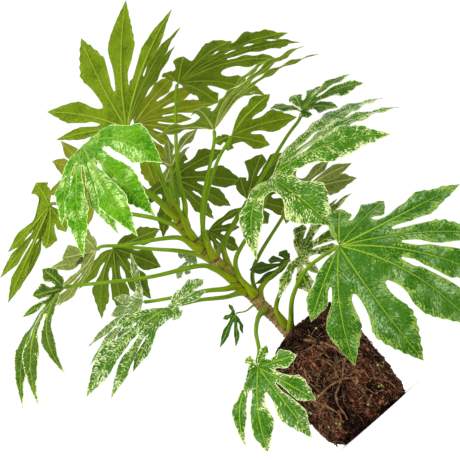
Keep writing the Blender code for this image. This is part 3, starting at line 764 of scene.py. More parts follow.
class Blade:
    """A leaf's blade: its middle surface with, for each point, the relief that is added to it."""

    def __init__(self, leaf, draw):
        self.lobes, self.mean = lobes_of(leaf)
        self.draw = draw
        self.points = [self.lobes[0].hub]
        self.lift = [0.0]
        self.rib = [RIB_HEIGHT]
        self.furrow = [0.0]
        self.faces = []
        self.spread = []
        web = max(lobe.web * lobe.reach for lobe in self.lobes)
        self.web_rows = max(WEB_ROWS_LEAST, round(web / ROW))
        self.shared = [self.shared_line(a, b) for a, b in zip(self.lobes, self.lobes[1:])]
        self.tips = [self.add(lobe.hub + lobe.way) for lobe in self.lobes]
        for number in range(len(self.lobes)):
            self.grow(number)

    def add(self, point, lift=0.0, rib=0.0, furrow=0.0):
        self.points.append(point)
        self.lift.append(lift)
        self.rib.append(rib)
        self.furrow.append(furrow)
        return len(self.points) - 1

    def web_shares(self):
        """Shares of the way from the hub to the sinus where the rows are."""
        return [k / self.web_rows for k in range(1, self.web_rows + 1)]

    def shared_line(self, first, second):
        edge = shared_edge(first, second)
        return [self.add(edge(share)) for share in self.web_shares()]

    def outer_line(self, lobe, side, others):
        """The margin of the first or last lobe between the hub and where the others come free."""
        line = []
        for share in self.web_shares():
            spot = lobe.middle(lobe.web * share)
            wide = OUTER_WIDTH * lobe.half * smooth(OUTER_START + (1 - OUTER_START) * share)
            wide = min(wide, max(clear_width(spot, side * lobe.side, others), BLADE))
            wide *= math.sin(min(share / OUTER_OPENED, 1) * math.pi / 2)
            line.append(self.add(spot + side * lobe.side * wide))
        return line

    def edge_line(self, lobe, side, line, others):
        """Goes on with a line of the margin, from the sinus to near the tip, in waves."""
        edge = free_edge(lobe, side, self.points[line[-1]], others, self.draw)
        phase = self.draw.uniform(0, FULL_TURN)
        begin, end = WAVE_ENDS
        for s in free_rows(lobe):
            wave = WAVE * smooth(s / begin) * smooth((1 - s) / end)
            turn = FULL_TURN * (1 - lobe.web) * s * lobe.reach / WAVE_LENGTH + phase
            line.append(self.add(edge(s), wave * math.sin(turn)))

    def grow(self, number):
        """The faces of one lobe, row by row from the hub to the tip."""
        lobe = self.lobes[number]
        others = np.vstack([rib_line(other, other.web) for other in self.lobes if other is not lobe])
        far_end = rib_line(self.lobes[0] if lobe is self.lobes[-1] else self.lobes[-1], 0)
        shares = [lobe.web * k / self.web_rows for k in range(1, self.web_rows + 1)]
        shares += [lobe.web + (1 - lobe.web) * s for s in free_rows(lobe)]
        halves = []
        for side, joint in ((-1, number - 1), (1, number)):
            if 0 <= joint < len(self.shared):
                line = list(self.shared[joint])
            else:
                line = self.outer_line(lobe, side, far_end)
            self.edge_line(lobe, side, line, others)
            halves.append((side, line))
        grid = []
        for row, t in enumerate(shares):
            spot = lobe.middle(t)
            rib = self.add(spot, 0.0, rib_height(t), furrow_depth(t))
            along = t * lobe.reach * MM
            right, left = [self.half_row(t, spot, along, side, line[row]) for side, line in halves]
            grid.append(right[::-1] + [(rib, (0.0, along))] + left)
        self.weave(grid, self.tips[number], lobe.reach * MM)

    def half_row(self, t, spot, along, side, end):
        """(point, (across, along)) from beside the midrib out to the edge."""
        toward = self.points[end] - spot
        wide = np.linalg.norm(toward)
        thick = RIB_HALF * (1 - RIB_NARROWS * t)
        near = min(SHOULDER * thick / wide, SHOULDER_MOST)
        foot = min(thick / wide, RIB_FOOT_MOST)
        shares = [near, foot] + [foot + (1 - foot) * share for share in COLUMNS]
        flat = [0.0] * (1 + len(COLUMNS))
        ribs = [rib_height(t) * RIB_SHOULDER] + flat
        furrows = [furrow_depth(t) * FURROW_SHOULDER] + flat
        made = []
        for share, rib, furrow in zip(shares, ribs, furrows):
            across = side * share * wide * MM
            if share == 1.0:
                made.append((end, (across, along)))
                continue
            bulge = math.sin(math.pi * share)
            lift = PILLOW * wide * bulge + self.lift[end] * share**2
            lift -= QUILT * vein_depth(across, along) * bulge
            made.append((self.add(spot + toward * share, lift, rib, furrow), (across, along)))
        return made

    def weave(self, grid, tip, length):
        """Faces between the rows, a fan at the hub and another at the tip."""
        for a, b in zip(grid[0], grid[0][1:]):
            self.cell((0, (0.0, 0.0)), a, b)
        for row, beyond in zip(grid, grid[1:]):
            for a, b, c, d in zip(row, row[1:], beyond[1:], beyond):
                self.cell(a, d, c, b)
        for a, b in zip(grid[-1], grid[-1][1:]):
            self.cell(a, (tip, (0.0, length)), b)

    def cell(self, *corners):
        self.faces.append(tuple(number for number, _ in corners))
        self.spread.append([place_on for _, place_on in corners])


def vein_depth(across, along):
    """1 on a side vein and 0 between them."""
    turn = (along - VEIN_SLANT * abs(across)) / VEIN_STEP + (0.5 if across > 0 else 0.0)
    away = abs(turn - round(turn)) * VEIN_STEP
    return hump(away / VEIN_HALF)


def rim_of(faces):
    """The edges that only one face has, each in that face's direction."""
    rim = {}
    for face in faces:
        for edge in zip(face, face[1:] + face[:1]):
            if edge[::-1] in rim:
                del rim[edge[::-1]]
            else:
                rim[edge] = True
    return list(rim)


TOP, UNDERSIDE, STALK = 0, 1, 2


def add_blade(growth, blade):
    """The blade as a closed sheet: upper face, lower face with its ribs, and rim."""
    points = np.array(blade.points)
    crinkle = [CRINKLE * noise.noise(Vector(p) / CRINKLE_SIZE) for p in points]
    grown = points + normals_of(points, blade.faces) * (np.array(blade.lift) + crinkle)[:, None]
    facing = normals_of(grown, blade.faces)
    upper = grown + facing * (BLADE / 2 - np.array(blade.furrow))[:, None]
    lower = grown - facing * (BLADE / 2 + np.array(blade.rib))[:, None]
    rim = rim_of(blade.faces)
    tree = KDTree(len(rim))
    for number, (a, _) in enumerate(rim):
        tree.insert(grown[a], number)
    tree.balance()
    margin = [tree.find(p)[2] * MM for p in grown]
    first = growth.add(upper)
    below = growth.add(lower)
    for face, spread in zip(blade.faces, blade.spread):
        edge = [(margin[corner], 0.0) for corner in face]
        growth.face([first + corner for corner in face], TOP, spread, edge)
        backwards = [below + corner for corner in face[::-1]]
        growth.face(backwards, UNDERSIDE, spread[::-1], edge[::-1])
    for a, b in rim:
        growth.face((first + b, first + a, below + a, below + b), TOP)


# Stem

STEM_POINTS = 200
STEM_ROWS = 330
STEM_SIDES = 56
STEM_END = 0.012
STEM_POINT = 0.006

# Rings: the first and last so far from the ends, more in between where it is wider than a share of a step
RING_HEIGHT = 0.0006
RING_HALF = 0.0007
RING_STEP = 0.0105
RING_FIRST = 0.004
RING_WIDE = 1.6
RING_NARROW = 0.7

# The hollow beside each ring: its depth, how far from the ring it is, and its half
HOLLOW = 0.0004
HOLLOW_AWAY = 0.0022
HOLLOW_HALF = 0.0012

# Wrinkles: their depth as a share of the radius, and how close they are round the stem and along it
WRINKLES = ((0.05, 3, 90), (0.02, 14, 160))

STEM = [place(*p) for p in STEM_LINE]
STEM_FOOT_WAY = unit(STEM[0] - STEM[1])
STEM_LENGTHWISE = through(STEM, STEM_POINTS)


def stem_radius(share):
    return STEM_RADIUS + (STEM_TIP_RADIUS - STEM_RADIUS) * share


def nearest_on_stem(spot):
    """The nearest place on the stem's middle line, the way up there, and its share of the length."""
    line = STEM_LENGTHWISE
    index = int(np.argmin(np.linalg.norm(line - spot, axis=1)))
    index = min(max(index, 1), len(line) - 2)
    return line[index], unit(line[index + 1] - line[index - 1]), index / (len(line) - 1)


def ring_places(length):
    """Where along the stem leaves stand or stood, in metres from the soil: each leaves a ring."""
    places = sorted(nearest_on_stem(place(*leaf["stalk"][0]))[2] * length for leaf in LEAVES.values())
    kept = [RING_FIRST]
    for spot in places + [length - RING_FIRST]:
        while spot - kept[-1] > RING_WIDE * RING_STEP:
            kept.append(kept[-1] + RING_STEP)
        if spot - kept[-1] > RING_NARROW * RING_STEP:
            kept.append(spot)
    return kept


def wrinkle(turn, length):
    """How far the bark stands out here, as a share of the stem's radius."""
    depth = 0.0
    for share, around, lengthwise in WRINKLES:
        spot = Vector((math.cos(turn) * around, math.sin(turn) * around, length * lengthwise))
        depth += share * noise.noise(spot)
    return depth


def stem():
    """The stem: swollen rings where leaves fell, fine wrinkles between them, and a pointed bud on top."""
    foot = STEM[0] + STEM_FOOT_WAY * STEM_SUNK
    line = through([foot] + STEM, STEM_ROWS)
    along = run_of(line) - STEM_SUNK
    rings = np.array(ring_places(along[-1]))
    to_ring = [np.abs(rings - length).min() for length in along]
    growth = Growth()
    radii = []
    for length, away in zip(along, to_ring):
        radius = stem_radius(max(length, 0) / along[-1])
        radius += RING_HEIGHT * hump(away / RING_HALF) - HOLLOW * hump((away - HOLLOW_AWAY) / HOLLOW_HALF)
        left = along[-1] - length
        if left < STEM_END:
            radius *= math.sqrt(max(1 - (1 - left / STEM_END) ** 2, STEM_POINT))
        radii.append(radius)
    growth.tube(line, radii, STEM_SIDES)
    points = np.array(growth.points).reshape(STEM_ROWS, STEM_SIDES, 3)
    for row, length in enumerate(along):
        for k, turn in enumerate(circle(STEM_SIDES)):
            points[row, k] += (points[row, k] - line[row]) * wrinkle(turn, length)
    growth.points = [tuple(p) for p in points.reshape(-1, 3)]
    corner_rows = [corner // STEM_SIDES for face in growth.faces for corner in face]
    growth.margin = [(to_ring[row] * MM, along[row] / along[-1]) for row in corner_rows]
    return growth.finished("stem_bark", [bark_look()])


# Stalks

STALK_SIDES = 14
STALK_ROW = 0.0022
STALK_ROWS_LEAST = 16
STALK_CROWD = 1.25
STALK_RADIUS = (3.3, 1.9)
CLASP_LENGTH = 0.0095
CLASP_STRETCH = 0.42
CLASP_SUNK = 0.0030
SWELL = 0.55
SWELL_LENGTH = 0.0170
KNEE = 0.20
KNEE_LENGTH = 0.005

# How far below its joint a stalk's foot starts on the stem, more for a stalk that rises steeply, and how
# narrow it starts
FOOT_BELOW = 0.0100
FOOT_LEVEL = 0.25
FOOT_STEEP = 1.2
FOOT_LEAST = 0.1
FOOT_START = 0.70

# Where a stalk leaves the stem, in its own radii outward and upward
LEAVES_OUT = 0.55
LEAVES_UP = 0.5

# A stalk comes to the hub from below and from the gap between the first lobe and the last, over this
# length or share of its last part. Its rounded end is just under the blade
COMES_FROM_GAP = 0.4
COMES_FROM_BELOW = 0.8
COMES_LENGTH = 0.012
COMES_SHARE = 0.4
STOPS_BELOW = 0.0004
STOPS_ROUND = 0.0022
STOPS_LEAST = 0.05


def fading(along, length):
    """1 at the start of a line, falling away over that length."""
    return np.exp(-(along / length) ** 2)


def add_stalk(growth, leaf, mean, lobes):
    """The stalk: it clasps the stem with a broad foot, and swells a little below the blade."""
    hub = place(*leaf["hub"])
    line = [place(*p) for p in leaf["stalk"]]
    base_radius, end_radius = [r / MM for r in leaf.get("stalk_radius", STALK_RADIUS)]
    on_stem, stem_way, height = nearest_on_stem(line[0])
    out = line[1] - on_stem
    out = unit(out - stem_way * out.dot(stem_way))
    steep = unit(line[1] - on_stem).dot(stem_way)
    upward = min(max(FOOT_LEVEL + FOOT_STEEP * steep, FOOT_LEAST), 1.0)
    below, below_way, _ = nearest_on_stem(on_stem - stem_way * FOOT_BELOW * upward)
    start = below + out * (stem_radius(height) - CLASP_SUNK)
    lift = on_stem + out * (stem_radius(height) + base_radius * LEAVES_OUT)
    lift = lift + stem_way * base_radius * LEAVES_UP
    gap_way = -unit(sum(unit(lobe.way) for lobe in lobes))
    last = line[-1] - hub
    comes = unit(unit(last) + COMES_FROM_GAP * gap_way - COMES_FROM_BELOW * mean)
    under = hub + comes * min(COMES_LENGTH, COMES_SHARE * np.linalg.norm(last))
    knots = [start, lift] + line[1:] + [under, hub - mean * STOPS_BELOW]
    length = sum(np.linalg.norm(b - a) for a, b in zip(knots, knots[1:]))
    route = through(knots, max(STALK_ROWS_LEAST, round(length / STALK_ROW)), STALK_CROWD)
    along = run_of(route)
    to_end = along[-1] - along
    radii = end_radius + (base_radius - end_radius) * (1 - along / along[-1]) ** 2
    radii = radii * (1 + KNEE * fading(to_end, KNEE_LENGTH))
    radii = radii * np.sqrt(np.clip(to_end / STOPS_ROUND, STOPS_LEAST, 1.0))
    radii = radii * (1 + SWELL * fading(along, SWELL_LENGTH))
    radii = radii * (FOOT_START + (1 - FOOT_START) * np.clip(along / FOOT_BELOW, 0.0, 1.0))
    wider = 1 + CLASP_STRETCH * fading(along, CLASP_LENGTH)
    growth.tube(route, radii, STALK_SIDES, STALK, np.cross(below_way, out), wider)


def leaf_piece(name, leaf, looks):
    growth = Growth()
    blade = Blade(leaf, random.Random(name))
    add_blade(growth, blade)
    add_stalk(growth, leaf, blade.mean, blade.lobes)
    return growth.finished(name + "_grown", looks)


# Root ball

SEED = 7

# The ball's outline: (height, radius share) up the side and in over the top, SIDE_KNOTS of them up the side
BALL_OUTLINE = [
    (0.0, 0.86), (0.06, 0.93), (0.16, 0.95), (0.30, 0.97), (0.45, 0.99), (0.60, 1.0),
    (0.74, 1.01), (0.86, 1.0), (0.94, 0.95), (0.985, 0.86), (1.0, 0.70), (0.985, 0.45),
]
SIDE_KNOTS = 9

# Swellings all over, none at the bottom: how many, how high, and how wide in turn and height
BUMPS = 26
BUMP_HEIGHT = 0.0016
BUMP_TURN = 0.5
BUMP_LEVEL = 0.16
BUMPS_FROM = 0.06

# The worn side: how deep at the bottom, up to which height, how low at the top, from which height, over
# how much
WORN_LOW = 0.007
WORN_BELOW = 0.12
WORN_TOP = 0.016
WORN_ABOVE = 0.7
WORN_OVER = 0.3


class Ball:
    """The root ball's shape. Its worn side and swellings are the solid's, worn a little more at the top."""

    def __init__(self):
        self.draw = draw = random.Random(SEED)
        self.bumps = [
            (draw.uniform(0, FULL_TURN), draw.uniform(0, 1), draw.uniform(-1, 1)) for _ in range(BUMPS)
        ]
        self.heights, self.shares = zip(*BALL_OUTLINE[:SIDE_KNOTS])

    def place(self, turn, height, share=None, out=0.0):
        """A place on the ball: height as a share of its own, share the radius share if not the side's."""
        if share is None:
            share = np.interp(height, self.heights, self.shares)
        worn = max(0.0, -math.cos(turn)) ** 2
        radius = (BALL_RADIUS - BALL_TAPER * (1 - height)) * share
        radius -= WORN_LOW * worn * smooth((WORN_BELOW - height) / WORN_BELOW)
        swell = 0.0
        for at, level, size in self.bumps:
            away = math.remainder(turn - at, FULL_TURN)
            swell += size * hump(away / BUMP_TURN) * hump((height - level) / BUMP_LEVEL)
        radius += BUMP_HEIGHT * swell * min(1.0, height / BUMPS_FROM) + out
        up = height * BALL_HEIGHT - WORN_TOP * worn * smooth((height - WORN_ABOVE) / WORN_OVER)
        return np.array([radius * math.cos(turn), radius * math.sin(turn), up])


# Soil: its mesh's rows over the bottom and the top, as first and last radius share and count
BALL_TURNS = 290
SIDE_ROWS = 150
BOTTOM_ROWS = (0.05, 0.83, 34)
TOP_ROWS = (0.42, 0.02, 18)

# Its relief: how deep, the sizes of lumps, crumbs, grit and pits, and where in the noise a pit starts
CRUMB = 0.0011
PIT = 0.0026
LUMP_SIZE = 0.011
CRUMB_SIZE = 0.0042
GRIT_SIZE = 0.0019
PIT_SIZE = 0.0065
PIT_SHIFT = Vector((7, 3, 1))
PIT_START = 0.18
PIT_SLOPE = 0.25


def crumbs(spot):
    """How far the soil stands out here: lumps, crumbs and pits."""
    p = Vector(spot)
    lump = noise.noise(p / LUMP_SIZE)
    crumb = abs(noise.noise(p / CRUMB_SIZE)) + 0.5 * abs(noise.noise(p / GRIT_SIZE))
    pit = smooth((noise.noise(p / PIT_SIZE + PIT_SHIFT) - PIT_START) / PIT_SLOPE)
    return CRUMB * (1.1 * lump + 1.5 * crumb - 0.3) - PIT * pit


def soil(ball):
    outline = [(share * BALL_RADIUS, 0.0, height * BALL_HEIGHT) for height, share in BALL_OUTLINE]
    rows = [(0.0, share) for share in np.linspace(*BOTTOM_ROWS)]
    rows += [(z / BALL_HEIGHT, x / BALL_RADIUS) for x, _, z in through(outline, SIDE_ROWS)]
    rows += [(BALL_OUTLINE[-1][0], share) for share in np.linspace(*TOP_ROWS)]
    turns = circle(BALL_TURNS)
    points = np.array([ball.place(turn, height, share) for height, share in rows for turn in turns])
    faces = [corners for _, _, corners in bands(len(rows), BALL_TURNS)]
    facing = normals_of(points, faces)
    points = points + facing * np.array([crumbs(p) for p in points])[:, None]
    points[:, 2] = np.maximum(points[:, 2], 0.0)
    growth = Growth()
    first = growth.add(points)
    for corners in faces:
        growth.face(corners)
    growth.ends(first, len(rows), BALL_TURNS)
    return growth.finished("soil", [soil_look()], SOIL_SHARP)


# Thick roots: their radius, at the end a share of it, how uneven they are, and how far they wander
ROOT_RADIUS = 0.0016
ROOT_TAPER = 0.6
ROOT_SIDES = 10
ROOT_ROWS = 70
ROOT_OUT = 0.0004
ROOT_UNEVEN = 0.25
ROOT_WANDER = 0.0012
ROOT_WANDER_SIZE = 0.012

# Those that were drawn, as (turn in degrees, height in metres)
ROOTS = [
    [(-150, 0.098), (-124, 0.060), (-100, 0.058), (-76, 0.050), (-42, 0.024), (-34, 0.010)],
    [(-136, 0.085), (-126, 0.058), (-114, 0.030), (-128, 0.016), (-124, 0.009)],
    [(-88, 0.112), (-70, 0.090), (-62, 0.070), (-48, 0.062), (-20, 0.050)],
]

# Loose ones, in degrees and metres: where they start, how they go on, and where they end
LOOSE_ROOTS = 5
LOOSE_FROM = -10
LOOSE_OVER = 210
LOOSE_APART = 16
LOOSE_TOP = (0.080, 0.114)
LOOSE_TURN = 34
LOOSE_FALL = (0.010, 0.028)
LOOSE_LOW = 0.022
LOOSE_LOWEST = 0.006
LOOSE_KNOTS = 6


def loose_roots(draw):
    """Roots that wander down the back and sides."""
    routes = []
    for number in range(LOOSE_ROOTS):
        turn = LOOSE_FROM + number * LOOSE_OVER / LOOSE_ROOTS + draw.uniform(-LOOSE_APART, LOOSE_APART)
        height = draw.uniform(*LOOSE_TOP)
        route = [(turn, height)]
        while height > LOOSE_LOW and len(route) < LOOSE_KNOTS:
            turn += draw.uniform(-LOOSE_TURN, LOOSE_TURN)
            height = max(height - draw.uniform(*LOOSE_FALL), LOOSE_LOWEST)
            route.append((turn, height))
        routes.append(route)
    return routes


def thick_roots(ball):
    growth = Growth()
    for route in ROOTS + loose_roots(ball.draw):
        knots = [ball.place(math.radians(turn), up / BALL_HEIGHT, out=ROOT_OUT) for turn, up in route]
        line = through(knots, ROOT_ROWS)
        wander = [Vector(p) / ROOT_WANDER_SIZE for p in line]
        line = line + ROOT_WANDER * np.array([noise.noise_vector(p) for p in wander])
        radii = np.linspace(ROOT_RADIUS, ROOT_RADIUS * ROOT_TAPER, len(line))
        radii = radii * np.array([1 + ROOT_UNEVEN * noise.noise(p * 3) for p in wander])
        growth.tube(line, radii, ROOT_SIDES)
    return growth.finished("thick_roots", [root_look("root_skin", THICK_ROOT)])


# Fine roots: how many, their steps, radii and bends in radians, and where on the ball they may be
FINE_ROOTS = 400
FINE_SIDES = 5
FINE_STEP = 0.0026
FINE_STEPS = (9, 30)
FINE_STEPS_LEAST = 4
FINE_BEND = 0.45
FINE_RADII = (0.00016, 0.00036)
FINE_THICKER = (1, 1, 1.6)
FINE_TAPER = 0.5
FINE_START = (0.03, 0.93)
FINE_LOWEST = 0.02
FINE_HIGHEST = 0.94
FINE_DEEPEST = -0.0004
FINE_OUT = (-0.0004, 0.0009)


def fine_roots(ball):
    """Hair-thin roots that wander over the soil, in and out of it."""
    draw = random.Random(SEED + 1)
    growth = Growth()
    for _ in range(FINE_ROOTS):
        turn = draw.uniform(0, FULL_TURN)
        height = draw.uniform(*FINE_START)
        heading = draw.uniform(-math.pi, math.pi)
        radius = draw.uniform(*FINE_RADII) * draw.choice(FINE_THICKER)
        line = []
        for _ in range(draw.randint(*FINE_STEPS)):
            heading += draw.uniform(-FINE_BEND, FINE_BEND)
            turn += FINE_STEP * math.cos(heading) / BALL_RADIUS
            height += FINE_STEP * math.sin(heading) / BALL_HEIGHT
            if not FINE_LOWEST < height < FINE_HIGHEST:
                break
            out = max(crumbs(ball.place(turn, height)), FINE_DEEPEST) + draw.uniform(*FINE_OUT)
            line.append(ball.place(turn, height, out=out))
        if len(line) > FINE_STEPS_LEAST:
            line = through(line, 2 * len(line))
            growth.tube(line, np.linspace(radius, radius * FINE_TAPER, len(line)), FINE_SIDES)
    return growth.finished("fine_roots", [root_look("fine_root_skin", FINE_ROOT)])


# Bark chips: how many, their corners, where they are, and their sizes in metres, the width as a share
CHIPS = 760
CHIP_CORNERS = 7
CHIP_HEIGHTS = (0.02, 0.99)
CHIP_LENGTHS = (0.0018, 0.0064)
CHIP_WIDTHS = (0.16, 0.48)
CHIP_THICKNESSES = (0.0004, 0.0010)
CHIP_OUT = (-0.0002, 0.0007)
CHIP_EDGE = (0.75, 1.15)
CHIP_TILT = 0.35
CHIP_LOWEST = 0.0002

# A chip's rings from below: (rise in thicknesses, size)
CHIP_RINGS = ((-1.5, 0.9), (0.4, 1.0), (1.0, 0.82))

# Above this height a chip lies on the ball's top, evenly over its area between these shares of it
CHIP_ON_TOP = 0.94
CHIP_TOP_AREA = (0.03, 0.8)
CHIP_TOP_SHARES = (0.0, 0.45, 0.70, 0.86)
CHIP_TOP_HEIGHTS = (0.985, 0.985, 1.0, 0.985)
CHIP_SIDE_RISE = 0.15


def bark_chips(ball):
    """Flat splinters of bark in the soil, long and narrow, lying along its surface at all angles."""
    draw = random.Random(SEED + 2)
    growth = Growth()
    for _ in range(CHIPS):
        turn = draw.uniform(0, FULL_TURN)
        height = draw.uniform(*CHIP_HEIGHTS)
        share = None
        out = np.array([math.cos(turn), math.sin(turn), CHIP_SIDE_RISE])
        if height > CHIP_ON_TOP:
            share = math.sqrt(draw.uniform(*CHIP_TOP_AREA))
            height = np.interp(share, CHIP_TOP_SHARES, CHIP_TOP_HEIGHTS)
            out = np.array([0.0, 0.0, 1.0])
        spot = ball.place(turn, height, share)
        lie = np.array([draw.uniform(-1, 1) for _ in range(3)])
        out = unit(unit(out) + CHIP_TILT * lie)
        long_way = unit(np.cross(out, [draw.uniform(-1, 1) for _ in range(3)]))
        wide_way = np.cross(out, long_way)
        length = draw.uniform(*CHIP_LENGTHS)
        width = length * draw.uniform(*CHIP_WIDTHS)
        thick = draw.uniform(*CHIP_THICKNESSES)
        spot = spot + out * draw.uniform(*CHIP_OUT)
        edge = [draw.uniform(*CHIP_EDGE) for _ in range(CHIP_CORNERS)]
        points = []
        for rise, size in CHIP_RINGS:
            for wide, angle in zip(edge, circle(CHIP_CORNERS)):
                flat = long_way * length * math.cos(angle) + wide_way * width * math.sin(angle)
                points.append(spot + flat * wide * size + out * thick * rise)
        points = np.array(points)
        points[:, 2] = np.maximum(points[:, 2], CHIP_LOWEST)
        first = growth.add(points)
        for _, _, corners in bands(len(CHIP_RINGS), CHIP_CORNERS, first):
            growth.face(corners)
        growth.ends(first, len(CHIP_RINGS), CHIP_CORNERS)
    return growth.finished("bark_chips", [chip_look()], CHIP_SHARP)


# Pellets of plant food, and the radius at their poles
PELLETS = 34
PELLET_RINGS = 8
PELLET_SIDES = 12
PELLET_HEIGHTS = (0.05, 0.92)
PELLET_RADII = (0.0010, 0.0016)
PELLET_OUT = 0.0006
PELLET_POLE = 0.00004


def pellets(ball):
    """Little round grains of plant food that lie in the soil."""
    draw = random.Random(SEED + 3)
    growth = Growth()
    turns = [math.pi * k / PELLET_RINGS for k in range(PELLET_RINGS + 1)]
    for _ in range(PELLETS):
        spot = ball.place(draw.uniform(0, FULL_TURN), draw.uniform(*PELLET_HEIGHTS), out=PELLET_OUT)
        radius = draw.uniform(*PELLET_RADII)
        line = [spot + np.array([0.0, 0.0, -radius * math.cos(a)]) for a in turns]
        growth.tube(line, [max(radius * math.sin(a), PELLET_POLE) for a in turns], PELLET_SIDES)
    return growth.finished("pellets", [pellet_look()])


# Materials

SHINE = 0.12
LEAF_SHINE = 0.08
BACK_SHINE = 0.05
WHITE_TINT = (1.0, 1.0, 1.0)
GREEN_TINT = (0.70, 1.0, 0.30)

# The sockets of a colour mix: its share, its two colours and what comes out
MIX_INPUTS = (0, 6, 7)
MIX_RESULT = 2

# What soft noise lies mostly between, and where its patches have their borders
NOISE_RANGE = (0.3, 0.7)
PATCH_BORDER = (0.35, 0.65)


class Look:
    """A material's nodes, added one by one. where is the place on the plant, in metres."""

    def __init__(self, name, roughness=0.5, shine=SHINE, tint=WHITE_TINT):
        self.made = bpy.data.materials.new(name)
        self.made.use_nodes = True
        self.tree = self.made.node_tree
        self.shader = self.tree.nodes["Principled BSDF"]
        self.shader.inputs["Roughness"].default_value = roughness
        self.shader.inputs["Specular IOR Level"].default_value = shine
        self.shader.inputs["Specular Tint"].default_value = (*tint, 1.0)
        self.where = self.node("ShaderNodeTexCoord").outputs["Object"]

    def feed(self, socket, value):
        if isinstance(value, bpy.types.NodeSocket):
            self.tree.links.new(value, socket)
        elif isinstance(value, tuple) and len(socket.default_value) == 4:
            socket.default_value = (*value, 1.0)
        else:
            socket.default_value = value

    def node(self, kind, settings=None, **inputs):
        made = self.tree.nodes.new(kind)
        for name, value in (settings or {}).items():
            setattr(made, name, value)
        for name, value in inputs.items():
            self.feed(made.inputs[name.replace("_", " ")], value)
        return made

    def maths(self, operation, first, second=0.0):
        made = self.node("ShaderNodeMath", {"operation": operation})
        self.feed(made.inputs[0], first)
        self.feed(made.inputs[1], second)
        return made.outputs[0]

    def product(self, first, second):
        return self.maths("MULTIPLY", first, second)

    def unsigned(self, value):
        return self.maths("ABSOLUTE", value)

    def plus(self, first, second, times=1.0):
        """first plus times second."""
        return self.maths("ADD", first, self.product(second, times))

    def ease(self, value, low, high, start=0.0, end=1.0):
        """start where value is low, end where it is high, smoothly between."""
        made = self.node("ShaderNodeMapRange", {"interpolation_type": "SMOOTHSTEP"})
        for number, given in enumerate((value, low, high, start, end)):
            self.feed(made.inputs[number], given)
        return made.outputs[0]

    def mix(self, share, first, second):
        made = self.node("ShaderNodeMix", {"data_type": "RGBA"})
        for number, given in zip(MIX_INPUTS, (share, first, second)):
            self.feed(made.inputs[number], given)
        return made.outputs[MIX_RESULT]

    def tint(self, colour, share, second, strength):
        """The colour, mixed with a second one where share is 1 by that strength."""
        return self.mix(self.product(share, strength), colour, second)

    def mottle(self, noise, first, second):
        """Two colours in patches of the noise, with soft borders."""
        return self.mix(self.ease(noise, *PATCH_BORDER), first, second)

    def between(self, noise, low, high):
        """low to high, as the noise goes through its usual range."""
        return self.ease(noise, *NOISE_RANGE, low, high)

    def stretched(self, scale):
        made = self.node("ShaderNodeMapping", Vector=self.where)
        made.inputs["Scale"].default_value = scale
        return made.outputs[0]

    def grain(self, size, detail=2.0, where=None):
        """Soft noise with patches of about that size in metres."""
        made = self.node("ShaderNodeTexNoise", Vector=where or self.where, Scale=1.0 / size, Detail=detail)
        return made.outputs["Fac"]

    def swing(self, size, detail=2.0):
        """Soft noise that swings about 0."""
        return self.maths("SUBTRACT", self.grain(size, detail), 0.5)

    def cells(self, size):
        """0 on the borders of little cells, rising inside them."""
        to_border = {"feature": "DISTANCE_TO_EDGE"}
        made = self.node("ShaderNodeTexVoronoi", to_border, Vector=self.where, Scale=1.0 / size)
        return made.outputs["Distance"]

    def layer(self, name):
        made = self.node("ShaderNodeUVMap", {"uv_map": name})
        parts = self.node("ShaderNodeSeparateXYZ", Vector=made.outputs[0])
        return parts.outputs["X"], parts.outputs["Y"]

    def finish(self, colour, roughness=None, height=None, depth=0.0003):
        self.feed(self.shader.inputs["Base Color"], colour)
        if roughness is not None:
            self.feed(self.shader.inputs["Roughness"], roughness)
        if height is not None:
            bump = self.node("ShaderNodeBump", Height=height, Distance=depth, Strength=1.0)
            self.feed(self.shader.inputs["Normal"], bump.outputs[0])
        return self.made

    def let_light_through(self, share, colour):
        """Part of the light shines through to the other side."""
        through_it = self.node("ShaderNodeBsdfTranslucent", Color=colour)
        both = self.node("ShaderNodeMixShader")
        both.inputs[0].default_value = share
        self.tree.links.new(self.shader.outputs[0], both.inputs[1])
        self.tree.links.new(through_it.outputs[0], both.inputs[2])
        output = self.tree.nodes["Material Output"]
        self.tree.links.new(both.outputs[0], output.inputs["Surface"])


def blend(first, second, share):
    return tuple(a + (b - a) * share for a, b in zip(first, second))


# Midribs in millimetres: half as wide as this at the hub and at that distance from it, but no wider than
# this share of the lobe's half. Then how far side veins wander, in steps, and how wide they are
RIB_HALVES = (0.95, 0.40)
RIB_LENGTH = 120.0
RIB_SHARE = 0.13
RIB_LEAST = 0.05
RIB_BORDER = (1.25, 0.55)
VEIN_WANDER = 0.35
VEIN_BORDER = (0.42, 0.12)
VEIN_END = (1.0, 5.0)
VEIN_FADE = (16.0, 4.0, 0.25, 1.0)
NET_CELL = 0.0030
NET_BORDER = (0.07, 0.015)


def lobe_place(look):
    """(across, along, to_edge): how far from the midrib, the hub and the edge, in millimetres."""
    across, along = look.layer("spread")
    to_edge, _ = look.layer("margin")
    return across, along, to_edge


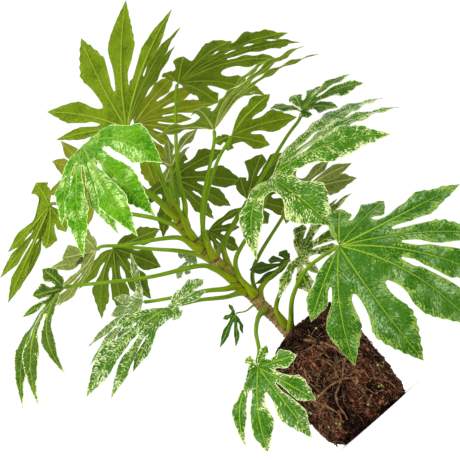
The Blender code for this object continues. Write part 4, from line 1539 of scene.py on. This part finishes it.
def veins(look, across, along, to_edge):
    """(midrib, side veins, fine net): each 1 on the vein."""
    away = look.unsigned(across)
    half = look.ease(along, 0.0, RIB_LENGTH, *RIB_HALVES)
    half = look.maths("MINIMUM", half, look.product(look.maths("ADD", away, to_edge), RIB_SHARE))
    rib = look.ease(look.maths("DIVIDE", away, look.maths("MAXIMUM", half, RIB_LEAST)), *RIB_BORDER)
    turn = look.maths("DIVIDE", look.plus(along, away, -VEIN_SLANT), VEIN_STEP)
    turn = look.maths("ADD", turn, look.product(look.swing(0.011), VEIN_WANDER))
    turn = look.plus(turn, look.maths("GREATER_THAN", across), 0.5)
    off = look.maths("FRACT", look.maths("ADD", turn, 0.5))
    off = look.unsigned(look.maths("SUBTRACT", off, 0.5))
    side = look.ease(look.product(off, VEIN_STEP), *VEIN_BORDER)
    side = look.product(side, look.ease(to_edge, *VEIN_END))
    side = look.product(side, look.ease(away, *VEIN_FADE))
    net = look.ease(look.cells(NET_CELL), *NET_BORDER)
    return rib, side, net


# Strokes that run with the side veins: their size across and along them in millimetres
STROKES = (1.8, 5.0)
FACETS = (2.2, 5.0)
FRECKLES = (1.5, 2.4)
BACK_STROKES = (2.0, 4.0)

# A slow noise shifts the strokes by up to this many of them, so that they don't line up from leaf to leaf
STROKE_SHIFT = (0.06, 14.0)


def herring(look, across, along, size, longer):
    """Soft noise in short strokes that run with the side veins, about size by longer millimetres."""
    over = look.maths("DIVIDE", look.plus(along, look.unsigned(across), -VEIN_SLANT), size)
    run = look.maths("DIVIDE", across, longer)
    shift_size, shift = STROKE_SHIFT
    apart = look.product(look.grain(shift_size, 0.0), shift)
    spot = look.node("ShaderNodeCombineXYZ", X=over, Y=run, Z=apart)
    return look.grain(1.0, 2.0, spot.outputs[0])


def painted_sheen_mask(look, across, along, to_edge, quilt):
    """1 where painted sheen lightens a lobe: patches between midrib and edge, broken up by strokes and by
    the quilting.
    """
    away = look.unsigned(across)
    beside = look.maths("DIVIDE", away, look.maths("ADD", look.maths("ADD", away, to_edge), 1.0))
    band = look.product(look.ease(beside, 0.02, 0.35), look.ease(beside, 1.0, 0.55, 0.35, 1.0))
    band = look.product(band, look.ease(look.grain(0.021), 0.44, 0.60))
    band = look.product(band, look.ease(along, 8.0, 30.0, 0.3, 1.0))
    facet = look.plus(herring(look, across, along, *FACETS), quilt, 0.16)
    return look.product(band, look.ease(facet, 0.44, 0.74, 0.10, 1.0))


# Linear colours on leaves
VEIN = (0.21, 0.33, 0.022)
# Painted sheen: pale yellow-green that stands in for light the lobes reflect
PAINTED_SHEEN = (0.50, 0.68, 0.22)
CREAM = (0.52, 0.58, 0.24)
PALE = (0.20, 0.31, 0.050)
WHITISH = (0.45, 0.53, 0.27)
# A greyer painted sheen, for whitish light reflected on darker leaves
GREY_PAINTED_SHEEN = (0.26, 0.40, 0.17)
LIGHT_YELLOW = (1.0, 1.0, 0.8)

# The pillows between veins, and how freckles come in clouds
QUILT_CELL = 0.0036
FRECKLE_CLOUD = 0.014
FRECKLE_CLOUDED = 2.2


def leaf_top(name, dark, fresh, spot, inner, outer, reach, border, bright=0.0, painted_sheen_colour=PAINTED_SHEEN):
    """Green with paler veins and freckles: inner and outer say how many inside and at the edge.

    bright is how strongly painted sheen lightens the lobes between midrib and edge, in the colour after it.
    """
    look = Look(name, shine=LEAF_SHINE, tint=GREEN_TINT)
    across, along, to_edge = lobe_place(look)
    rib, side, net = veins(look, across, along, to_edge)
    quilt = look.ease(look.cells(QUILT_CELL), 0.0, 0.30)
    strokes = look.plus(herring(look, across, along, *STROKES), quilt, 0.10)
    green = look.mix(look.ease(strokes, 0.45, 0.64), dark, fresh)
    clouds = look.ease(look.grain(0.030, 1.0), 0.40, 0.60)
    green = look.tint(green, clouds, blend(dark, fresh, 1.35), 0.35)
    # Painted sheen: paler patches between midrib and edge, where a lobe would catch the light
    green = look.tint(green, painted_sheen_mask(look, across, along, to_edge, quilt), painted_sheen_colour, bright)
    green = look.tint(green, side, blend(fresh, VEIN, 0.5), 0.55)
    green = look.tint(green, net, blend(dark, fresh, 0.2), 0.35)
    amount = look.ease(to_edge, 0.3, reach, outer, inner)
    amount = look.plus(amount, look.swing(FRECKLE_CLOUD, 1.0), FRECKLE_CLOUDED)
    speck = look.plus(herring(look, across, along, *FRECKLES), amount, 0.2)
    colour = look.tint(green, look.ease(speck, 0.58, 0.66), blend(fresh, spot, 0.35), 0.6)
    colour = look.mix(look.ease(speck, 0.66, 0.70), colour, spot)
    wobble = look.product(look.swing(0.0035), 3.0 * border)
    line = look.ease(look.maths("ADD", to_edge, wobble), border, 0.45 * border)
    colour = look.mix(line, colour, blend(spot, LIGHT_YELLOW, 0.15))
    colour = look.mix(rib, colour, VEIN)
    rough = look.between(look.grain(0.009), 0.34, 0.50)
    height = look.plus(look.plus(quilt, side, -0.8), look.grain(0.0022, 3.0), 0.6)
    look.finish(colour, rough, height, 0.00040)
    look.let_light_through(0.12, blend(dark, fresh, 1.2))
    return look.made


def leaf_underside(name, deep, bright, vein, blush, edge=0.0):
    """Matt and yellower than above, with raised pale veins; blush says how freckled it is."""
    look = Look(name, shine=BACK_SHINE, tint=GREEN_TINT)
    across, along, to_edge = lobe_place(look)
    rib, side, net = veins(look, across, along, to_edge)
    light = look.plus(look.grain(0.016, 3.0), look.ease(to_edge, 1.0, 14.0, 1.0, 0.0), 0.16)
    colour = look.mix(look.ease(light, 0.38, 0.66), deep, bright)
    strokes = look.ease(herring(look, across, along, *BACK_STROKES), 0.40, 0.62)
    colour = look.tint(colour, strokes, blend(deep, bright, 1.35), 0.50)
    spots = look.plus(look.grain(0.0024), look.ease(to_edge, 0.0, 9.0), -0.16)
    colour = look.tint(colour, look.ease(spots, 0.44, 0.58), vein, blush)
    colour = look.tint(colour, net, blend(bright, vein, 0.4), 0.40)
    colour = look.tint(colour, side, vein, 0.80)
    colour = look.tint(colour, look.ease(to_edge, 0.9, 0.3), vein, edge)
    colour = look.mix(rib, colour, blend(bright, vein, 1.15))
    rough = look.between(look.grain(0.006), 0.50, 0.66)
    height = look.plus(look.plus(side, net, 0.5), strokes, -0.5)
    look.finish(colour, rough, height, 0.00045)
    look.let_light_through(0.14, blend(deep, bright, 1.3))
    return look.made


# Linear colours of stalks and stem, each pair in patches
STALK_GREENS = ((0.074, 0.145, 0.002), (0.128, 0.225, 0.004))
STALK_OLIVES = ((0.132, 0.180, 0.002), (0.210, 0.272, 0.006))
STALK_BROWN = (0.110, 0.062, 0.016)
BARK_OLIVES = ((0.110, 0.125, 0.004), (0.205, 0.230, 0.008))
BARK_TANS = ((0.165, 0.095, 0.032), (0.345, 0.225, 0.095))
BARK_JOINT = (0.080, 0.036, 0.012)

# How far up a stalk, in millimetres, its foot is brown and then olive
FOOT_BROWN = (5.6, 3.4)
FOOT_OLIVE = (12.0, 42.0)


def stalk_look():
    """Bright green, fine lengthwise streaks, olive and brown where it clasps the stem."""
    look = Look("stalk_skin", shine=LEAF_SHINE, tint=GREEN_TINT)
    around, along = look.layer("spread")
    spot = look.node("ShaderNodeCombineXYZ", X=around, Y=look.product(along, 0.06))
    streak = look.grain(0.9, 2.0, spot.outputs[0])
    green = look.mottle(streak, *STALK_GREENS)
    olive = look.mottle(streak, *STALK_OLIVES)
    foot = look.plus(along, look.grain(0.004), 4.0)
    colour = look.mix(look.ease(foot, *FOOT_OLIVE), olive, green)
    colour = look.mix(look.ease(foot, *FOOT_BROWN), colour, STALK_BROWN)
    rough = look.between(look.grain(0.004), 0.38, 0.52)
    return look.finish(colour, rough, streak, 0.00015)


def bark_look():
    """Corky tan with dark joints, and olive green in patches."""
    look = Look("stem_skin", shine=0.10)
    away, share = look.layer("margin")
    patch = look.grain(0.0075, 3.0)
    olive = look.mix(look.grain(0.003, 3.0), *BARK_OLIVES)
    tan = look.mottle(look.grain(0.0022, 4.0), *BARK_TANS)
    greener = look.plus(patch, share, 0.42)
    colour = look.mix(look.ease(greener, 0.58, 0.70), tan, olive)
    joint = look.plus(away, look.swing(0.002), 1.4)
    colour = look.mix(look.ease(joint, 0.75, 0.20), colour, BARK_JOINT)
    height = look.plus(look.grain(0.0012, 4.0), look.cells(0.0035), 0.8)
    return look.finish(colour, look.between(patch, 0.55, 0.8), height, 0.0005)


# Linear colours of soil, bark chips and roots, each pair in patches
SOIL_BLACKS = ((0.004, 0.002, 0.0015), (0.032, 0.016, 0.010))
SOIL_REDS = ((0.024, 0.008, 0.005), (0.150, 0.056, 0.031))
SOIL_FIBRE = (0.150, 0.075, 0.035)
CHIP_DARKS = ((0.020, 0.008, 0.005), (0.070, 0.024, 0.012))
CHIP_LIGHTS = ((0.110, 0.042, 0.022), (0.320, 0.130, 0.064))
CHIP_SHADE = (0.010, 0.005, 0.003)
THICK_ROOT = ((0.080, 0.036, 0.016), (0.210, 0.115, 0.048))
FINE_ROOT = ((0.060, 0.028, 0.013), (0.290, 0.170, 0.080))
PELLET_GREENS = ((0.16, 0.27, 0.04), (0.30, 0.45, 0.12))
FLOOR_WHITES = ((0.95, 0.95, 0.95), (0.97, 0.97, 0.97))

# Patches of the ball, some black and some reddish, and how far its fibres and chips' grain are drawn out
DUST_PATCH = 0.022
FIBRE_STRETCH = (0.5, 0.5, 2.4)
CHIP_STRETCH = (1.0, 1.0, 0.35)


def soil_look():
    """Nearly black, with patches of reddish bark dust and pale fibres."""
    look = Look("soil_crumb", 0.95, 0.02)
    dust = look.ease(look.grain(DUST_PATCH, 3.0), 0.48, 0.60)
    fine = look.ease(look.grain(0.0022, 4.0), 0.44, 0.66)
    black = look.mix(fine, *SOIL_BLACKS)
    red = look.mix(fine, *SOIL_REDS)
    colour = look.tint(black, dust, red, 0.85)
    fibre = look.grain(0.0030, 2.0, look.stretched(FIBRE_STRETCH))
    colour = look.mix(look.ease(fibre, 0.66, 0.74), colour, SOIL_FIBRE)
    height = look.plus(look.grain(0.0016, 5.0), look.grain(0.005), 1.5)
    return look.finish(colour, None, height, 0.0012)


def chip_look():
    """Dark and reddish splinters with a lengthwise grain, blackened where the soil is black."""
    look = Look("bark_chip", 0.85, 0.04)
    tone = look.ease(look.grain(0.006, 1.0), 0.38, 0.62)
    dark = look.mix(tone, *CHIP_DARKS)
    light = look.mix(tone, *CHIP_LIGHTS)
    streak = look.grain(0.0016, 3.0, look.stretched(CHIP_STRETCH))
    colour = look.mottle(streak, dark, light)
    shade = look.ease(look.grain(DUST_PATCH, 3.0), 0.54, 0.44)
    colour = look.tint(colour, shade, CHIP_SHADE, 0.90)
    return look.finish(colour, None, streak, 0.0006)


def root_look(name, colours):
    look = Look(name, 0.75, 0.06)
    colour = look.mottle(look.grain(0.0045, 4.0), *colours)
    return look.finish(colour, None, look.grain(0.0013, 3.0), 0.0003)


def pellet_look():
    look = Look("pellet_coat", 0.4)
    colour = look.mottle(look.grain(0.003, 3.0), *PELLET_GREENS)
    return look.finish(colour, None, look.grain(0.0008), 0.0001)


def floor_look():
    look = Look("studio_floor", 0.8, 0.0)
    colour = look.mix(look.grain(0.4, 3.0), *FLOOR_WHITES)
    return look.finish(colour, None, look.grain(0.01), 0.0001)


# Upper sides: dark green, fresh green, freckles' colour, how many inside and at the edge, their reach and
# the border in mm, and how strongly painted sheen lightens the lobes and in which colour
TOPS = {
    "underside": ((0.016, 0.078, 0.004), (0.044, 0.150, 0.008), CREAM, 0.00, 0.90, 9.0, 0.9),
    "fresh": ((0.020, 0.128, 0.003), (0.105, 0.280, 0.006), PAINTED_SHEEN, -0.80, 0.30, 4.0, 0.7, 0.95),
    "green": ((0.013, 0.058, 0.005), (0.038, 0.108, 0.010), CREAM, -0.10, 0.60, 4.0, 0.7, 0.25),
    "dark": ((0.014, 0.066, 0.008), (0.032, 0.110, 0.012), PALE, -0.50, 0.00, 3.0, 0.2),
    "silvery": ((0.065, 0.115, 0.035), (0.120, 0.180, 0.062), WHITISH, 0.25, 0.60, 6.0, 0.5),
    "speckled": (
        (0.012, 0.068, 0.003), (0.040, 0.130, 0.009), PALE, -0.05, 0.80, 9.0, 0.5, 0.85, GREY_PAINTED_SHEEN,
    ),
    "cream_edged": (
        (0.014, 0.076, 0.003), (0.050, 0.165, 0.008), CREAM, -0.10, 0.62, 6.0, 0.8, 0.50, GREY_PAINTED_SHEEN,
    ),
}

# Leaves that differ from the others of their tone
OWN_TOPS = {
    "leaf_09": ((0.034, 0.080, 0.006), (0.085, 0.150, 0.020), CREAM, -0.30, 0.50, 3.0, 0.8),
    "leaf_13": ((0.014, 0.078, 0.002), (0.048, 0.160, 0.005), CREAM, 0.22, 0.72, 12.0, 0.9, 0.15),
    "leaf_21": ((0.020, 0.082, 0.006), (0.062, 0.150, 0.016), WHITISH, 0.34, 0.52, 8.0, 0.7),
    "leaf_25": ((0.014, 0.056, 0.003), (0.044, 0.108, 0.008), CREAM, 0.35, 0.90, 5.0, 0.8),
}

# Undersides: deep, bright, veins, how freckled, and how pale the edge is
BRIGHT_BACK = ((0.060, 0.118, 0.003), (0.124, 0.196, 0.006), (0.250, 0.335, 0.028), 0.40, 0.0)
# Copies with painted light and painted shade: lighter for a leaf that lies in shade, darker for leaves
# behind others
PAINTED_LIGHT_BACK = ((0.120, 0.175, 0.005), (0.235, 0.295, 0.010), (0.360, 0.420, 0.050), 0.30, 0.0)
PAINTED_SHADE_BACK = ((0.045, 0.090, 0.003), (0.088, 0.145, 0.007), (0.190, 0.260, 0.030), 0.15, 0.0)
OCHRE_BACK = ((0.090, 0.110, 0.005), (0.170, 0.190, 0.012), (0.260, 0.300, 0.040), 0.10, 0.0)
OLIVE_BACK = ((0.080, 0.115, 0.014), (0.140, 0.185, 0.030), (0.360, 0.400, 0.120), 0.40, 0.8)
# Darker still: painted shade for a leaf far at the back
DEEP_PAINTED_SHADE_BACK = ((0.022, 0.060, 0.006), (0.050, 0.105, 0.014), (0.130, 0.200, 0.030), 0.10, 0.0)
EDGED_BACK = ((0.066, 0.125, 0.004), (0.128, 0.200, 0.010), (0.330, 0.390, 0.080), 0.10, 0.9)
BRIGHT_BACKED = ("underside", "fresh", "dark")
# Some single leaves take the copies with painted light or painted shade
OWN_BACKS = {
    "leaf_02": PAINTED_LIGHT_BACK,
    "leaf_04": EDGED_BACK,
    "leaf_07": OCHRE_BACK,
    "leaf_08": OLIVE_BACK,
    "leaf_10": PAINTED_SHADE_BACK,
    "leaf_14": OLIVE_BACK,
    "leaf_15": PAINTED_SHADE_BACK,
    "leaf_16": PAINTED_SHADE_BACK,
    "leaf_24": PAINTED_SHADE_BACK,
    "leaf_26": DEEP_PAINTED_SHADE_BACK,
}


def leaf_looks():
    """Each leaf's three materials: above, below and stalk. Leaves that look alike share theirs."""
    stalk_skin = stalk_look()
    looks = {}
    for tone, numbers in TOPS.items():
        back = BRIGHT_BACK if tone in BRIGHT_BACKED else OLIVE_BACK
        above = leaf_top(f"{tone}_above", *numbers)
        looks[tone] = [above, leaf_underside(f"{tone}_below", *back), stalk_skin]
    for name, leaf in LEAVES.items():
        above, below, _ = looks[leaf["tone"]]
        if name in OWN_TOPS:
            above = leaf_top(f"{name}_above", *OWN_TOPS[name])
        if name in OWN_BACKS:
            below = leaf_underside(f"{name}_below", *OWN_BACKS[name])
        looks[name] = [above, below, stalk_skin]
    return looks


# Studio

FLOOR_RADIUS = 14
FLOOR_SIDES = 96
FLOOR_BELOW = 0.0001
WORLD_STRENGTH = 1.06
AIM = (0.0, 0.0, 0.28)
SENSOR = 36
CLIP_START = 0.05

# Soft lights: name, place, size in metres and power in watts
LIGHTS = [
    ("key", (-0.9, -1.5, 1.7), 0.9, 48),
    ("fill", (1.4, -1.2, 0.9), 1.4, 8),
    ("back", (0.5, 1.6, 1.4), 1.2, 16),
]


def floor():
    bpy.ops.mesh.primitive_circle_add(
        vertices=FLOOR_SIDES, radius=FLOOR_RADIUS, fill_type="NGON", location=(0, 0, -FLOOR_BELOW)
    )
    made = bpy.context.object
    made.name = "studio_floor"
    made.data.materials.append(floor_look())


def soft_light(name, at, size, power):
    lamp = bpy.data.lights.new(name, "AREA")
    lamp.shape = "DISK"
    lamp.size = size
    lamp.energy = power
    made = object_with(name, lamp)
    made.location = at
    made.rotation_euler = (Vector(at) - Vector(AIM)).to_track_quat("Z", "Y").to_euler()


def studio():
    world = bpy.data.worlds.new("studio")
    world.use_nodes = True
    background = world.node_tree.nodes["Background"]
    background.inputs["Color"].default_value = (1.0, 1.0, 1.0, 1.0)
    background.inputs["Strength"].default_value = WORLD_STRENGTH
    bpy.context.scene.world = world
    bpy.context.scene.view_settings.view_transform = "Standard"
    for light in LIGHTS:
        soft_light(*light)


def camera():
    """The eye that the drawing was seen from, with the whole drawing in its frame."""
    lens = bpy.data.cameras.new("camera")
    lens.sensor_fit = "HORIZONTAL"
    lens.sensor_width = SENSOR
    lens.lens = SENSOR * EYE_DISTANCE / (2 * MIDDLE * GRID)
    lens.clip_start = CLIP_START
    made = object_with("camera", lens)
    turn = Matrix([EYE_RIGHT, EYE_UP, -EYE_FORWARD]).transposed().to_4x4()
    made.matrix_world = Matrix.Translation(EYE) @ turn
    bpy.context.scene.camera = made


def settle(piece, slot, *nodes):
    """The piece moves with the plant and stands for those nodes. slot is not used."""
    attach(piece, "root")
    if nodes:
        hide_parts(*nodes)


def plant():
    looks = leaf_looks()
    for name, leaf in LEAVES.items():
        settle(leaf_piece(name, leaf, looks[name]), "leaf_" + leaf["tone"], name)
    settle(stem(), "stem_bark", "stem")
    ball = Ball()
    settle(soil(ball), "root_soil", "root_ball")
    for make in (thick_roots, fine_roots, bark_chips, pellets):
        settle(make(ball), "root_soil")


camera()
studio()
floor()
plant()
